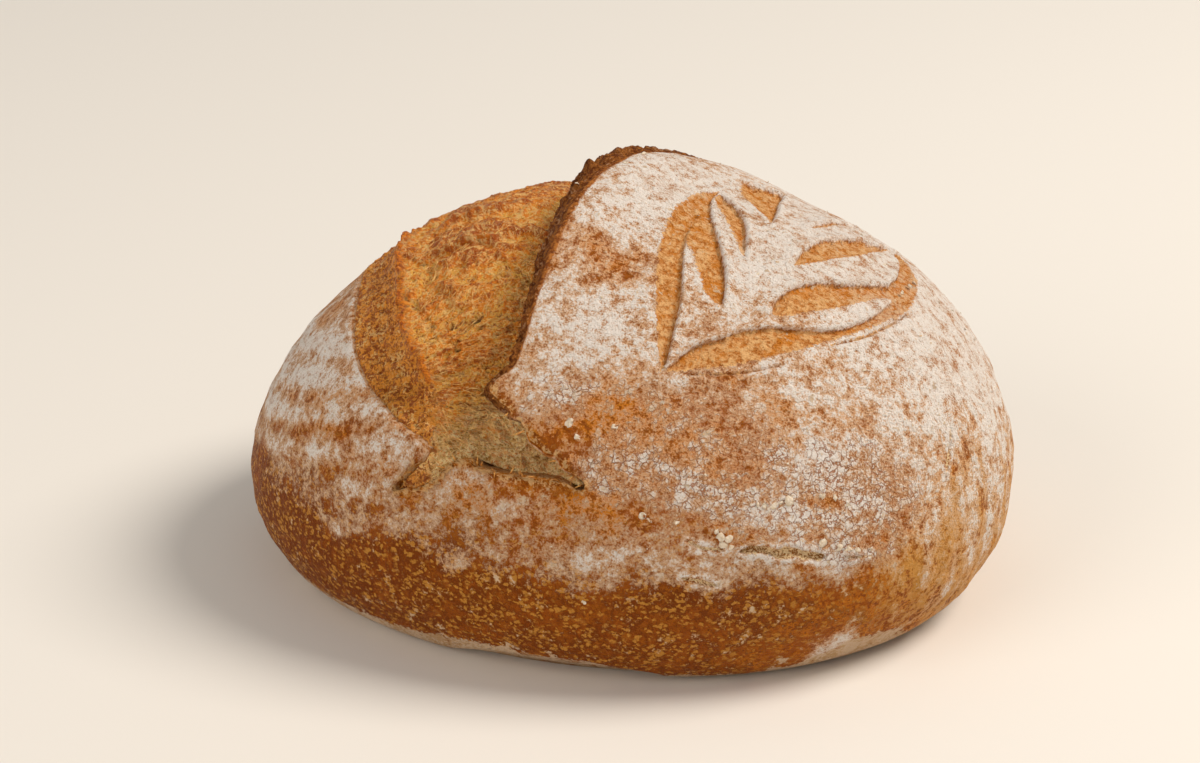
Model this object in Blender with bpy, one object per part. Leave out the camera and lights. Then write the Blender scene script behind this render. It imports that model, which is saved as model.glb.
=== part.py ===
"""A scored hearth loaf of sourdough bread, modelled as one closed solid.

The crust is described on a flat chart, as if it were peeled off the loaf and
laid out from the crown: u runs to the right and v to the back, in millimetres
along the crust.  The crown is at (0, 0), the widest level of the loaf lies
QUARTER from it, and the flat underside begins at FLAT.  All that the baker cut
and all that the oven tore is placed on the chart, and crust_point() bends it
onto the loaf.  The solid itself is written in metres, +Z up, with its origin
at the centre of its box on the surface that it rests on.
"""

from math import pi, radians

import bmesh
import bpy
import numpy as np
from mathutils import Vector
from mathutils.geometry import delaunay_2d_cdt

MM = 0.001

# The loaf's body, in millimetres.
HALF_LENGTH = 110.0      # crown to side at the widest level, before the lobes
HALF_DEPTH = 91.5        # crown to front at the widest level
DOME_HEIGHT = 112.0      # crown above the surface, without the ear
WAIST_HEIGHT = 27.0      # the widest level above the surface
BELLY_DROP = 59.6        # how deep the round belly would reach if it had not flattened
BASE_ROUND = 6.0         # softness of the turn from the belly into the flat underside
LEAN_RIGHT = 13.5        # the crown leans to the right of the base
LEAN_FRONT = 9.0         # and to the front
LOBE = -0.016            # three-cornered unevenness of the plan, as a share of its radius
LOBE_TURN = radians(20.8)

# The chart.
QUARTER = 150.0          # crown to the widest level
FLAT = 206.0             # crown to the edge of the flat underside
POLE = 2 * QUARTER       # crown to the middle of the underside

# The opening that the long score left, as four edges that follow each other.
EAR_EDGE = [(3, -111), (-11, -101), (-23, -89), (-27, -82), (-22, -73), (-20, -55), (-17, -25),
            (-12, 5), (-2, 27), (11, 48)]
BACK_EDGE = [(12, 65), (-10, 75), (-38, 68), (-63, 47), (-80, 19)]
LEFT_EDGE = [(-84, 3), (-81, -20), (-77, -44), (-70, -66), (-60, -84), (-50, -96)]
TEAR_EDGE = [(-45, -106), (-36, -104), (-22, -108.5), (-8, -110)]

# The ear: the right lip of the opening, which the oven raised and curled.
EAR_TIP_LIFT = 2.0       # at its front tip
EAR_LIFT = 9.0           # near the crown
EAR_REACH = 14.0         # how far to the right of its edge the lift fades
EAR_FACE = (2.5, 8.5)    # width of its cut face, at the tip and near the crown
EAR_TUCK = 3.0           # how far the crumb has crept under the cut face
EAR_RIM = 2.2            # the ragged rim that stands up from the face behind the crown

# The crumb that bloomed in the opening.
LIP = 1.2                    # thickness of the other lips
BLOOM_DROP = 1.2             # the bloom lies this far below the crust
BLOOM_TOP = (-42, 22)        # where it stands highest
BLOOM_SWELL = (2.6, 30.0)    # height and reach of that swelling
EAR_POCKET = (8.0, 16.0)     # depth and reach of the hollow beside the ear
TEAR_POCKET = (6.5, 13.0)    # depth and reach of the hollow behind the torn front edge
POCKET_CLOSES = 16.0         # both run out over this length towards the corner of the opening
RIDGE = [(-67, 16), (-65, -10), (-60, -33), (-57, -50), (-51, -66), (-45, -78)]
RIDGE_SIZE = (3.0, 4.5)      # height and half-width of the raised seam of crumb

# The leaf scoring: each cut is a spine of three points and its half-width.
LEAF_DEPTH = 1.8
LEAF_CUTS = {
    "left_low": ((17, -70), (4, -32), (10, 8), 3.8),
    "left_mid": ((24, -46), (12, -20), (10, 0), 3.2),
    "left_top": ((25, -22), (19, -6), (11, 7), 2.4),
    "crest": ((27, -1), (26, 12), (18, 22), 3.0),
    "right_low": ((16, -71), (47, -57), (67, -12), 4.8),
    "right_mid": ((36, -43), (49, -24), (64, -10), 4.4),
    "right_top": ((36, -22), (47, 4), (59, 20), 4.2),
    "right_crest": ((37, 4), (41, 16), (46, 26), 1.4),
    "right_end": ((61, 22), (70, 14), (68, -6), 2.0),
}
# Cracks that opened low on the front, cut in the same way.
CRACK_DEPTH = 3.0
CRACKS = {
    "open": ((55, -116), (71, -111), (88, -100), 1.7),
    "fine": ((24, -117.5), (38, -120.5), (53, -118), 0.9),
}

# Mesh density.
STATIONS = 112           # round the opening
RIM_STATIONS = 120       # round the edge of the underside
BELLY_RINGS = (7, 14, 22, 31)    # rings of points this far out from that edge
CLOSE_SPACING = 4.4      # between points in the opening, beside it and round the leaf
WIDE_SPACING = 8.0       # between points on the plain flanks
CLOSE_REACH = 88.0       # the close spacing ends this far from the middle of the scoring
SCORING_MIDDLE = (-5, -25)
CUT_STATIONS = 9         # along a leaf cut


def smooth_step(low, high, value):
    """0 below low, 1 above high, and a smooth rise between."""
    share = np.clip((value - low) / (high - low), 0.0, 1.0)
    return share * share * (3 - 2 * share)


def crust_point(u, v):
    """The place on the plain dome of a point of the chart."""
    u, v = np.asarray(u, float), np.asarray(v, float)
    polar = np.clip(np.hypot(u, v) / QUARTER, 0.0, 2.0) * pi / 2
    turn = np.arctan2(v, u)
    drop = np.where(np.cos(polar) > 0, DOME_HEIGHT - WAIST_HEIGHT, BELLY_DROP)
    level = WAIST_HEIGHT + drop * np.cos(polar)
    rounded = (level + BASE_ROUND) ** 2 / (4 * BASE_ROUND)
    z = np.where(level > BASE_ROUND, level, np.where(level < -BASE_ROUND, 0.0, rounded))
    radius = np.sin(polar) * (1 + LOBE * np.cos(3 * (turn - LOBE_TURN)))
    share = z / DOME_HEIGHT
    x = HALF_LENGTH * radius * np.cos(turn) + LEAN_RIGHT * share
    y = HALF_DEPTH * radius * np.sin(turn) - LEAN_FRONT * share
    return np.stack([x, y, z], axis=-1)


def crust_normal(u, v, step=0.3):
    """The outward direction of the dome at a point of the chart."""
    along_u = crust_point(u + step, v) - crust_point(u - step, v)
    along_v = crust_point(u, v + step) - crust_point(u, v - step)
    normal = np.cross(along_u, along_v)
    return normal / np.linalg.norm(normal, axis=-1, keepdims=True)


def curve_through(points, closed=False, steps=12):
    """A dense Catmull-Rom curve through the points."""
    knots = np.array(points, float)
    if closed:
        knots = np.vstack([knots[-1], knots, knots[:2]])
    else:
        knots = np.vstack([2 * knots[0] - knots[1], knots, 2 * knots[-1] - knots[-2]])
    t = np.arange(steps)[:, None] / steps
    spans = []
    for before, start, end, after in zip(knots, knots[1:], knots[2:], knots[3:]):
        spans.append(0.5 * (2 * start + (end - before) * t
                            + (2 * before - 5 * start + 4 * end - after) * t ** 2
                            + (3 * start - before - 3 * end + after) * t ** 3))
    if not closed:
        spans.append(knots[-2][None])
    return np.vstack(spans)


def even_points(curve, count):
    """Points evenly spaced along a closed curve."""
    ring = np.vstack([curve, curve[:1]])
    length = np.concatenate([[0.0], np.cumsum(np.linalg.norm(np.diff(ring, axis=0), axis=1))])
    wanted = np.arange(count) / count * length[-1]
    return np.stack([np.interp(wanted, length, ring[:, axis]) for axis in (0, 1)], axis=-1)


def distance_to(curve, u, v):
    """Distance on the chart from points to a curve, and where along it (0 to 1) they are nearest."""
    point = np.stack([np.asarray(u, float), np.asarray(v, float)], axis=-1)[..., None, :]
    start, run = curve[:-1], np.diff(curve, axis=0)
    share = ((point - start) * run).sum(-1) / (run * run).sum(-1)
    share = np.clip(share, 0.0, 1.0)
    gap = np.linalg.norm(point - start - share[..., None] * run, axis=-1)
    best = gap.argmin(axis=-1)
    nearest = np.take_along_axis(gap, best[..., None], -1)[..., 0]
    along = (best + np.take_along_axis(share, best[..., None], -1)[..., 0]) / len(run)
    return nearest, along


EAR_CURVE = curve_through(EAR_EDGE)
TEAR_CURVE = curve_through(TEAR_EDGE + EAR_EDGE[:1])
RIDGE_CURVE = curve_through(RIDGE)


def ear_lift(v):
    """Height of the ear's edge above the dome, for a place along it given by its v."""
    rise = (EAR_TIP_LIFT * smooth_step(-104, -82, v)
            + (EAR_LIFT - EAR_TIP_LIFT) * smooth_step(-82, -14, v))
    return rise * (1 - smooth_step(8, 72, v))


def crust_rise(u, v):
    """Height of the crust above the plain dome: the ear, fading to its right."""
    gap, _ = distance_to(EAR_CURVE, u, v)
    return ear_lift(v) * np.exp(-(gap / EAR_REACH) ** 2)


def bloom_height(u, v):
    """Height of the crumb in the opening above the plain dome, mostly below it."""
    ear_gap, _ = distance_to(EAR_CURVE, u, v)
    tear_gap, _ = distance_to(TEAR_CURVE, u, v)
    ridge_gap, along = distance_to(RIDGE_CURVE, u, v)
    corner_gap = np.hypot(u - EAR_EDGE[0][0], v - EAR_EDGE[0][1])
    top_gap = np.hypot(u - BLOOM_TOP[0], v - BLOOM_TOP[1])
    beside_ear = EAR_POCKET[0] * np.exp(-(ear_gap / EAR_POCKET[1]) ** 2) * (1 - smooth_step(10, 60, v))
    behind_tear = TEAR_POCKET[0] * np.exp(-(tear_gap / TEAR_POCKET[1]) ** 2)
    pocket = np.hypot(beside_ear, behind_tear) * smooth_step(0, POCKET_CLOSES, corner_gap)
    ridge = RIDGE_SIZE[0] * np.exp(-(ridge_gap / RIDGE_SIZE[1]) ** 2)
    ridge = ridge * smooth_step(0.0, 0.15, along) * (1 - 0.7 * smooth_step(0.7, 1.0, along))
    swell = BLOOM_SWELL[0] * np.exp(-(top_gap / BLOOM_SWELL[1]) ** 2)
    return swell + ridge - BLOOM_DROP - pocket


def raised(u, v, height):
    """A point of the chart, moved out from the dome by a height."""
    return crust_point(u, v) + crust_normal(u, v) * np.asarray(height, float)[..., None]


def inward(loop):
    """Unit directions on the chart from a loop's stations to its inside."""
    along = np.roll(loop, -1, axis=0) - np.roll(loop, 1, axis=0)
    into = np.stack([-along[:, 1], along[:, 0]], axis=-1)
    return into / np.linalg.norm(into, axis=1, keepdims=True)


def step_inward(loop, width):
    """A loop's stations moved inwards, less far where the opposite lip is near."""
    into, width = inward(loop), np.array(width, float)
    closed = np.vstack([loop, loop[:1]])
    for _ in range(8):
        moved = loop + into * width[:, None]
        gap, _ = distance_to(closed, moved[:, 0], moved[:, 1])
        width = np.where(gap < 0.85 * width, 0.8 * width, width)
    return moved


def lip_loops():
    """The three loops of the opening's lip, each as chart points and heights.

    They are its upper edge, the foot of its cut face, and the root, the line where
    the crumb leaves it.  Under the ear the root lies behind the foot.
    """
    edge = even_points(curve_through(EAR_EDGE + BACK_EDGE + LEFT_EDGE + TEAR_EDGE, closed=True), STATIONS)
    v = edge[:, 1]
    ear_gap, _ = distance_to(EAR_CURVE, edge[:, 0], v)
    ear = (1 - smooth_step(0.5, 9.0, ear_gap)) * smooth_step(-102, -84, v) * (1 - smooth_step(40, 66, v))
    rise = crust_rise(edge[:, 0], v)

    face_width = LIP + ear * (EAR_FACE[0] - LIP + (EAR_FACE[1] - EAR_FACE[0]) * smooth_step(-84, 0, v))
    fall = (ear_lift(v) + 0.3 * LIP) * (1 - smooth_step(-30, 22, v))
    rim = EAR_RIM * smooth_step(10, 36, v)
    foot_height = rise - LIP * (1 - ear) - (fall - rim) * ear
    foot = step_inward(edge, face_width)
    root = step_inward(edge, face_width + LIP - EAR_TUCK * ear)
    root_height = np.minimum(bloom_height(root[:, 0], root[:, 1]), foot_height - 0.6)
    return (edge, rise), (foot, foot_height), (root, root_height)


def is_inside(loop, points):
    """Which points lie inside a closed loop."""
    ahead = np.roll(loop, -1, axis=0)
    x, y = points[:, 0:1], points[:, 1:2]
    crosses = (loop[:, 1] > y) != (ahead[:, 1] > y)
    slope = (ahead[:, 0] - loop[:, 0]) / np.where(ahead[:, 1] == loop[:, 1], 1.0, ahead[:, 1] - loop[:, 1])
    return (crosses & (x < loop[:, 0] + slope * (y - loop[:, 1]))).sum(axis=1) % 2 == 1


def lattice(spacing):
    """A triangular lattice of points over the whole chart."""
    count = int(FLAT / spacing) + 2
    column, row = np.meshgrid(np.arange(-count, count + 1), np.arange(-count, count + 1))
    u = (column + 0.5 * (row % 2)) * spacing
    return np.stack([u.ravel(), (row * spacing * 0.75 ** 0.5).ravel()], axis=-1)


def clear_of(loops, points, room):
    """The points that keep some room to all of the loops."""
    for loop in loops:
        gap, _ = distance_to(np.vstack([loop, loop[:1]]), points[:, 0], points[:, 1])
        points = points[gap > room]
    return points


def chart_triangles(loops, points, keep):
    """Triangles between loops and points of the chart, where keep() says so of their middles."""
    corners = np.vstack(loops + [points])
    edges, start = [], 0
    for loop in loops:
        edges += [(start + i, start + (i + 1) % len(loop)) for i in range(len(loop))]
        start += len(loop)
    found = delaunay_2d_cdt([Vector(corner) for corner in corners], edges, [], 0, 1e-6)
    triangles = np.array(found[2])
    middles = np.array(found[0])[triangles].mean(axis=1)
    return np.array(found[0]), triangles[keep(middles)]


def principled(name, colour, roughness):
    """A plain material with a Principled shader."""
    material = bpy.data.materials.new(name)
    material.use_nodes = True
    shader = material.node_tree.nodes["Principled BSDF"]
    shader.inputs["Base Color"].default_value = (*colour, 1.0)
    shader.inputs["Roughness"].default_value = roughness
    shader.inputs["Metallic"].default_value = 0.0
    return material


def make_loaf():
    """The loaf's one mesh, closed, before the leaf scoring is cut."""
    mesh = bmesh.new()
    (edge, rise), (foot, foot_height), (root, root_height) = lip_loops()
    turn = 2 * pi * np.arange(RIM_STATIONS) / RIM_STATIONS
    around = np.stack([np.cos(turn), np.sin(turn)], axis=-1)
    rim = FLAT * around
    belly = [(FLAT - out) * around for out in BELLY_RINGS]

    def add_points(flat, height):
        return [mesh.verts.new(place * MM) for place in raised(flat[:, 0], flat[:, 1], height)]

    def add_face(corners, material_index):
        mesh.faces.new(corners).material_index = material_index

    edge_row, foot_row, root_row = (add_points(*loop) for loop in ((edge, rise), (foot, foot_height),
                                                                   (root, root_height)))
    for station in range(STATIONS):
        ahead = (station + 1) % STATIONS
        add_face((edge_row[station], edge_row[ahead], foot_row[ahead], foot_row[station]), 1)
        add_face((foot_row[station], foot_row[ahead], root_row[ahead], root_row[station]), 1)

    # The crust, from the edge of the opening to the rim of the underside.
    close, wide = lattice(CLOSE_SPACING), lattice(WIDE_SPACING)
    far = np.hypot(*(close - SCORING_MIDDLE).T) > CLOSE_REACH
    points = close[~far & ~is_inside(edge, close)]
    far = np.hypot(*(wide - SCORING_MIDDLE).T) > CLOSE_REACH
    far &= (np.hypot(*wide.T) < FLAT - BELLY_RINGS[-1]) & ~is_inside(edge, wide)
    points = clear_of([edge, belly[-1]], np.vstack([points, wide[far]]), 0.6 * CLOSE_SPACING)
    points = np.vstack([points] + belly)
    flat, triangles = chart_triangles([edge, rim], points, lambda middle: ~is_inside(edge, middle))
    inner = flat[len(edge):]
    row = edge_row + add_points(inner, crust_rise(inner[:, 0], inner[:, 1]))
    for corners in triangles:
        add_face([row[corner] for corner in corners], 0)
    rim_row = row[len(edge):len(edge) + RIM_STATIONS]

    # The crumb, inside the root of the lip.
    points = clear_of([root], close[is_inside(root, close)], 0.6 * CLOSE_SPACING)
    flat, triangles = chart_triangles([root], points, lambda middle: is_inside(root, middle))
    inner = flat[len(root):]
    row = root_row + add_points(inner, bloom_height(inner[:, 0], inner[:, 1]))
    for corners in triangles:
        add_face([row[corner] for corner in corners], 1)

    # The flat underside, a fan round its middle.
    middle = mesh.verts.new((0.0, 0.0, 0.0))
    for station in range(RIM_STATIONS):
        add_face((rim_row[station], middle, rim_row[(station + 1) % RIM_STATIONS]), 0)

    bmesh.ops.recalc_face_normals(mesh, faces=mesh.faces)
    data = bpy.data.meshes.new("loaf")
    mesh.to_mesh(data)
    mesh.free()
    data.shade_smooth()
    loaf = bpy.data.objects.new("loaf", data)
    bpy.context.collection.objects.link(loaf)
    data.materials.append(principled("baked crust", (0.42, 0.21, 0.09), 0.75))
    data.materials.append(principled("torn crumb", (0.55, 0.30, 0.11), 0.8))
    return loaf


def make_cutter(name, start, bend, end, half_width, depth):
    """A closed lens along a bent spine: what one stroke of the blade takes away."""
    start, bend, end = np.array(start, float), np.array(bend, float), np.array(end, float)
    mesh = bmesh.new()
    rows = []
    for t in np.linspace(0.0, 1.0, CUT_STATIONS):
        spine = (1 - t) ** 2 * start + 2 * t * (1 - t) * bend + t ** 2 * end
        along = 2 * (1 - t) * (bend - start) + 2 * t * (end - bend)
        side = np.array([-along[1], along[0]]) / np.linalg.norm(along)
        swell = max((4 * t * (1 - t)) ** 0.7, 0.08)
        wide = 1.35 * half_width * swell
        section = ((-wide, depth), (-0.5 * wide, -depth * swell), (0.5 * wide, -depth * swell),
                   (wide, depth))
        row = []
        for reach, height in section:
            u, v = spine + side * reach
            row.append(mesh.verts.new(raised(u, v, crust_rise(u, v) + height) * MM))
        rows.append(row)
    for row, ahead in zip(rows, rows[1:]):
        for corner in range(4):
            beside = (corner + 1) % 4
            mesh.faces.new((row[corner], row[beside], ahead[beside], ahead[corner]))
    mesh.faces.new(rows[0])
    mesh.faces.new(rows[-1])
    bmesh.ops.recalc_face_normals(mesh, faces=mesh.faces)
    data = bpy.data.meshes.new(name)
    mesh.to_mesh(data)
    mesh.free()
    cutter = bpy.data.objects.new(name, data)
    cutter.hide_render = True
    cutter.display_type = "WIRE"
    bpy.context.collection.objects.link(cutter)
    return cutter


def cut(loaf, cutter):
    """Takes a cutter's shape out of the loaf."""
    boolean = loaf.modifiers.new(cutter.name, "BOOLEAN")
    boolean.operation = "DIFFERENCE"
    boolean.solver = "EXACT"
    boolean.object = cutter


def centre_on_box(objects, loaf):
    """Moves all meshes so that the loaf's box is centred over the origin."""
    places = np.array([vertex.co[:] for vertex in loaf.data.vertices])
    middle = 0.5 * (places.min(axis=0) + places.max(axis=0))
    for item in objects:
        for vertex in item.data.vertices:
            vertex.co.x -= middle[0]
            vertex.co.y -= middle[1]


def main():
    for item in list(bpy.data.objects):
        bpy.data.objects.remove(item, do_unlink=True)
    loaf = make_loaf()
    cutters = []
    for name, (start, bend, end, half_width) in LEAF_CUTS.items():
        cutters.append(make_cutter("cut_" + name, start, bend, end, half_width, LEAF_DEPTH))
    for name, (start, bend, end, half_width) in CRACKS.items():
        cutters.append(make_cutter("crack_" + name, start, bend, end, half_width, CRACK_DEPTH))
    centre_on_box([loaf] + cutters, loaf)
    for cutter in cutters:
        cut(loaf, cutter)


main()
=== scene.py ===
import functools
import itertools
import math

import bmesh
import bpy
import numpy as np
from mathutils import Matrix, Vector
from mathutils.geometry import delaunay_2d_cdt


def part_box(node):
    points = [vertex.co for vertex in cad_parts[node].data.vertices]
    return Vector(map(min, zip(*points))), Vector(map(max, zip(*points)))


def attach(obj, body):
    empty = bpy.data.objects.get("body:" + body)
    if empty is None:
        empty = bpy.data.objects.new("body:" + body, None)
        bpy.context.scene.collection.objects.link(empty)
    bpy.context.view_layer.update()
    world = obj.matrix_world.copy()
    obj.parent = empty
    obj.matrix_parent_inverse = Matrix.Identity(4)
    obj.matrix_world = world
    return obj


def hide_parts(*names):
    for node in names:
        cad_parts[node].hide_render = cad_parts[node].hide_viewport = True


# A sourdough loaf: its crust, the crumb that bloomed in the long score, and what lies on them.
#
# The crust is described on a flat chart, as if it were peeled off the loaf and laid out from
# the crown: u runs right and v back, in millimetres along the crust.  The widest level lies
# QUARTER from the crown.  What was cut, torn, baked or dusted is placed on the chart, and
# crust_point() bends it onto the loaf.

bl_info = {
    "name": "Sourdough Loaf",
    "version": (1, 0, 0),
    "blender": (4, 5, 0),
    "location": "3D View > Sidebar > Loaf",
    "description": "Builds a scored sourdough loaf around its packed solid",
    "category": "Add Mesh",
}

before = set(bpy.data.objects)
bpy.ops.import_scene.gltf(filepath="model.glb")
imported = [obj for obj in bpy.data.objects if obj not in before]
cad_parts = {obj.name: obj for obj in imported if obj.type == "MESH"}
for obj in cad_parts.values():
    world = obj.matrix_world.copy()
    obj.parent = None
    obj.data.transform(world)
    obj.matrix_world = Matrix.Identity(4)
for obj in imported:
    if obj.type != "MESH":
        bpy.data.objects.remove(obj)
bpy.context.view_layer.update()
LOW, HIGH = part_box("loaf")

MM = 0.001
PER_METRE = 1000.0

# The loaf's body in millimetres, as its solid was made.
HALF_LENGTH = 110.0
HALF_DEPTH = 91.5
DOME_HEIGHT = 112.0
WAIST_HEIGHT = 27.0
BELLY_DROP = 59.6
BASE_ROUND = 6.0
LEAN_RIGHT = 13.5
LEAN_FRONT = 9.0
LOBE = -0.016
LOBE_TURN = math.radians(20.8)
QUARTER = 150.0
FLAT = 206.0

# The opening's edge, as four stretches that follow each other anticlockwise.
EAR_EDGE = [(3, -111), (-2.5, -106.5), (-7, -103.5), (-11, -101), (-15, -97), (-19, -93.5), (-22, -89.5),
            (-24.5, -87), (-27.3, -82.5), (-24, -77), (-22, -73), (-20, -55), (-17, -25), (-12, 5),
            (-2, 27), (11, 48)]
BACK_EDGE = [(12, 65), (-10, 75), (-38, 68), (-63, 47), (-80, 19)]
LEFT_EDGE = [(-84, 3), (-82, -12), (-79.5, -25), (-76, -47), (-73, -59), (-68, -71.5), (-62.5, -80),
             (-58, -87), (-53, -92.5), (-49, -96.5), (-47.7, -99.5)]
TEAR_EDGE = [(-50.5, -103), (-55, -106.5), (-57, -108.6), (-51.5, -109.4), (-46.5, -109.6), (-43, -108),
             (-40, -105), (-37, -103.4), (-33, -103.8), (-28, -106.2), (-23, -108), (-16, -109),
             (-8, -109.8)]

# The ear, close to the solid's: how far its edge lifts, how far that reaches over the crust,
# how wide its torn face is at its tip and at its middle, and how far the face tucks in below.
# The spans say by v where each begins and ends.
EAR_TIP_LIFT, EAR_LIFT, EAR_REACH = 2.0, 9.0, 14.0
EAR_TIP_RISES, EAR_RISES, EAR_SINKS = (-104, -82), (-82, -14), (8, 72)
EAR_OPEN = (-102, -84, 40, 66)
EAR_FACE, EAR_FACE_WIDENS = (2.5, 8.5), (-84, 0)
EAR_FALL_ENDS = (-30, 22)
EAR_TUCK = 3.0
EAR_RIM, EAR_RIM_SPAN = 1.0, (4, 14, 18, 34)
EAR_TUFTS = [    # torn shreds that stand on its face: v, half-length and lift
    (7.0, 1.5, 1.0), (12, 3.0, 0.8), (-1, 1.3, 3.6), (-5, 1.5, 1.6), (-10, 1.6, 1.8), (-15, 1.4, 1.6),
    (-24, 2.4, 1.4), (-33, 1.3, 1.2), (-42, 1.8, 1.3), (-52, 1.2, 1.1), (-61, 1.6, 1.2),
]

# The broken edge of the crust: its thickness, and how its mesh is divided.
LIP = 1.2
ROOT_DROP = 3.0
LIP_STATIONS = 860
RIM_STATIONS = 480
FACE_ROWS = 13
ROOT_ROWS = 5

# The crumb in the opening: its drop below the crust, then the height or depth and the reach of
# its swell and of its pockets beside the ear and behind the tear.
BLOOM_DROP = 1.2
BLOOM_TOP, BLOOM_SWELL = (-52, 14), (3.2, 28.0)
EAR_POCKET, TEAR_POCKET, POCKET_CLOSES = (8.0, 16.0), (6.5, 13.0), 16.0
NOTCH = (-57, -108)
RIDGE = [(-67, 16), (-65, -10), (-60.5, -31), (-58.3, -44), (-56.5, -52), (-53.5, -60.5), (-50, -67.5),
         (-48, -73), (-47, -78)]
RIDGE_SIZE = (3.0, 4.5)
CREST_HEIGHT = 1.8
SLAB_DEPTH = 7.0
WALL_DEPTH = 5.0

# The leaf scoring.  Each cut has a flush side, where its floor rises to the crust, and a
# stepped side, where the blade left an overhanging edge.
LEAF_DEPTH = 1.5
LEAF_CURL = (0.85, 2.4)    # how high the stepped edge curls up, and how far from it
LEAF_CUTS = [
    (((15.5, -73), (12, -63), (8.7, -51), (5.2, -34), (4, -21), (4.2, -8), (7.5, 5), (12, 11)),
     ((16.3, -70), (15.5, -61), (14.5, -50), (12.4, -38), (10, -25), (9.5, -12), (10.5, 0), (12, 11))),
    (((24.3, -47), (19.5, -44), (16.5, -37.5), (13, -29), (9.6, -23), (7, -12), (8, 0), (11, 8)),
     ((24.3, -47), (23.4, -40), (21, -31), (17.5, -21), (14.3, -12), (12, -3), (11, 8))),
    (((24.5, -25), (21, -18), (17.5, -10), (14, -2), (11.5, 5), (12, 10)),
     ((24.5, -25), (23.3, -17), (21, -6), (18.5, 1), (15.5, 6), (12, 10))),
    (((27.5, -3), (24.5, 3), (20, 10), (16.5, 16), (15, 24)),
     ((27.5, -3), (27.4, 8), (26.5, 18), (25, 29), (15, 24))),
    (((16, -73), (24, -69.5), (32, -65), (40, -58.5), (48, -50), (55, -41), (61.5, -31), (66, -21),
      (69.3, -8)),
     ((16, -73), (21, -63), (26.5, -58), (31, -53), (38, -48), (46, -44.3), (52.5, -39.5), (57.8, -32),
      (61.8, -22.5), (65, -12), (69.3, -8))),
    (((36, -44), (39, -43.3), (45, -37.5), (51, -31), (57, -22.5), (63, -14.5), (68.5, -9)),
     ((36, -44), (35.8, -38), (38.5, -30.5), (42.5, -25.3), (49, -20.2), (56, -14.5), (61.5, -7.5),
      (68.5, -9))),
    (((36, -22), (41.5, -16), (46.5, -8.5), (50.5, -1.5), (54.5, 8), (57.5, 17), (59, 26)),
     ((36, -22), (37.3, -12.5), (40.5, -3), (45.5, 6.5), (51.5, 15), (59, 26))),
    (((36.5, 3), (40, 10), (44, 20), (47, 30)),
     ((36.5, 3), (38.5, 11), (42.5, 21), (47, 30))),
    (((66, -24), (69.5, -12), (70.5, 0), (69.5, 12), (66, 22), (61, 29)),
     ((66, -24), (63.3, -13), (61.6, -7), (63.2, 2), (63, 12), (60.5, 21), (61, 29))),
]
# Thin strokes of the blade: a line and its half-width.
FINE_CUTS = [
    (((53, -46), (60, -37), (66, -25), (70.5, -12)), 0.5),
    (((22, -72), (34, -67), (44, -59)), 0.35),
]

# Cracks that opened low on the front: a line, its half-width and its depth.  Their lips stand
# up a little, and caught flour.
CRACK_LIP, CRACK_LIP_GAP = 0.5, 0.9
CRACKS = [
    (((55, -116.6), (61, -113.2), (66, -112.8), (71, -109.2), (77, -107.4), (82, -105)), 1.5, 1.5),
    (((38, -119.6), (44, -119.9), (50, -118)), 0.4, 0.5),
    (((41, -131), (47, -130), (53, -129.4)), 0.6, 0.8),
    (((87, -101.6), (92, -98.6), (96, -95)), 0.3, 0.4),
    (((96, -42), (100, -49), (104, -57)), 0.4, 0.6),
]

# Rows of flour that the proving basket's cane left, as rings round BANNETON_MIDDLE on the
# chart.  The numbers are the radii of the bare rows between them.
BANNETON_MIDDLE = (-44, 1)
BARE_ROWS = [55, 67, 78.7, 90, 101.6, 116.5, 131.5, 146.5, 162, 178, 196, 214, 232]

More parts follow.
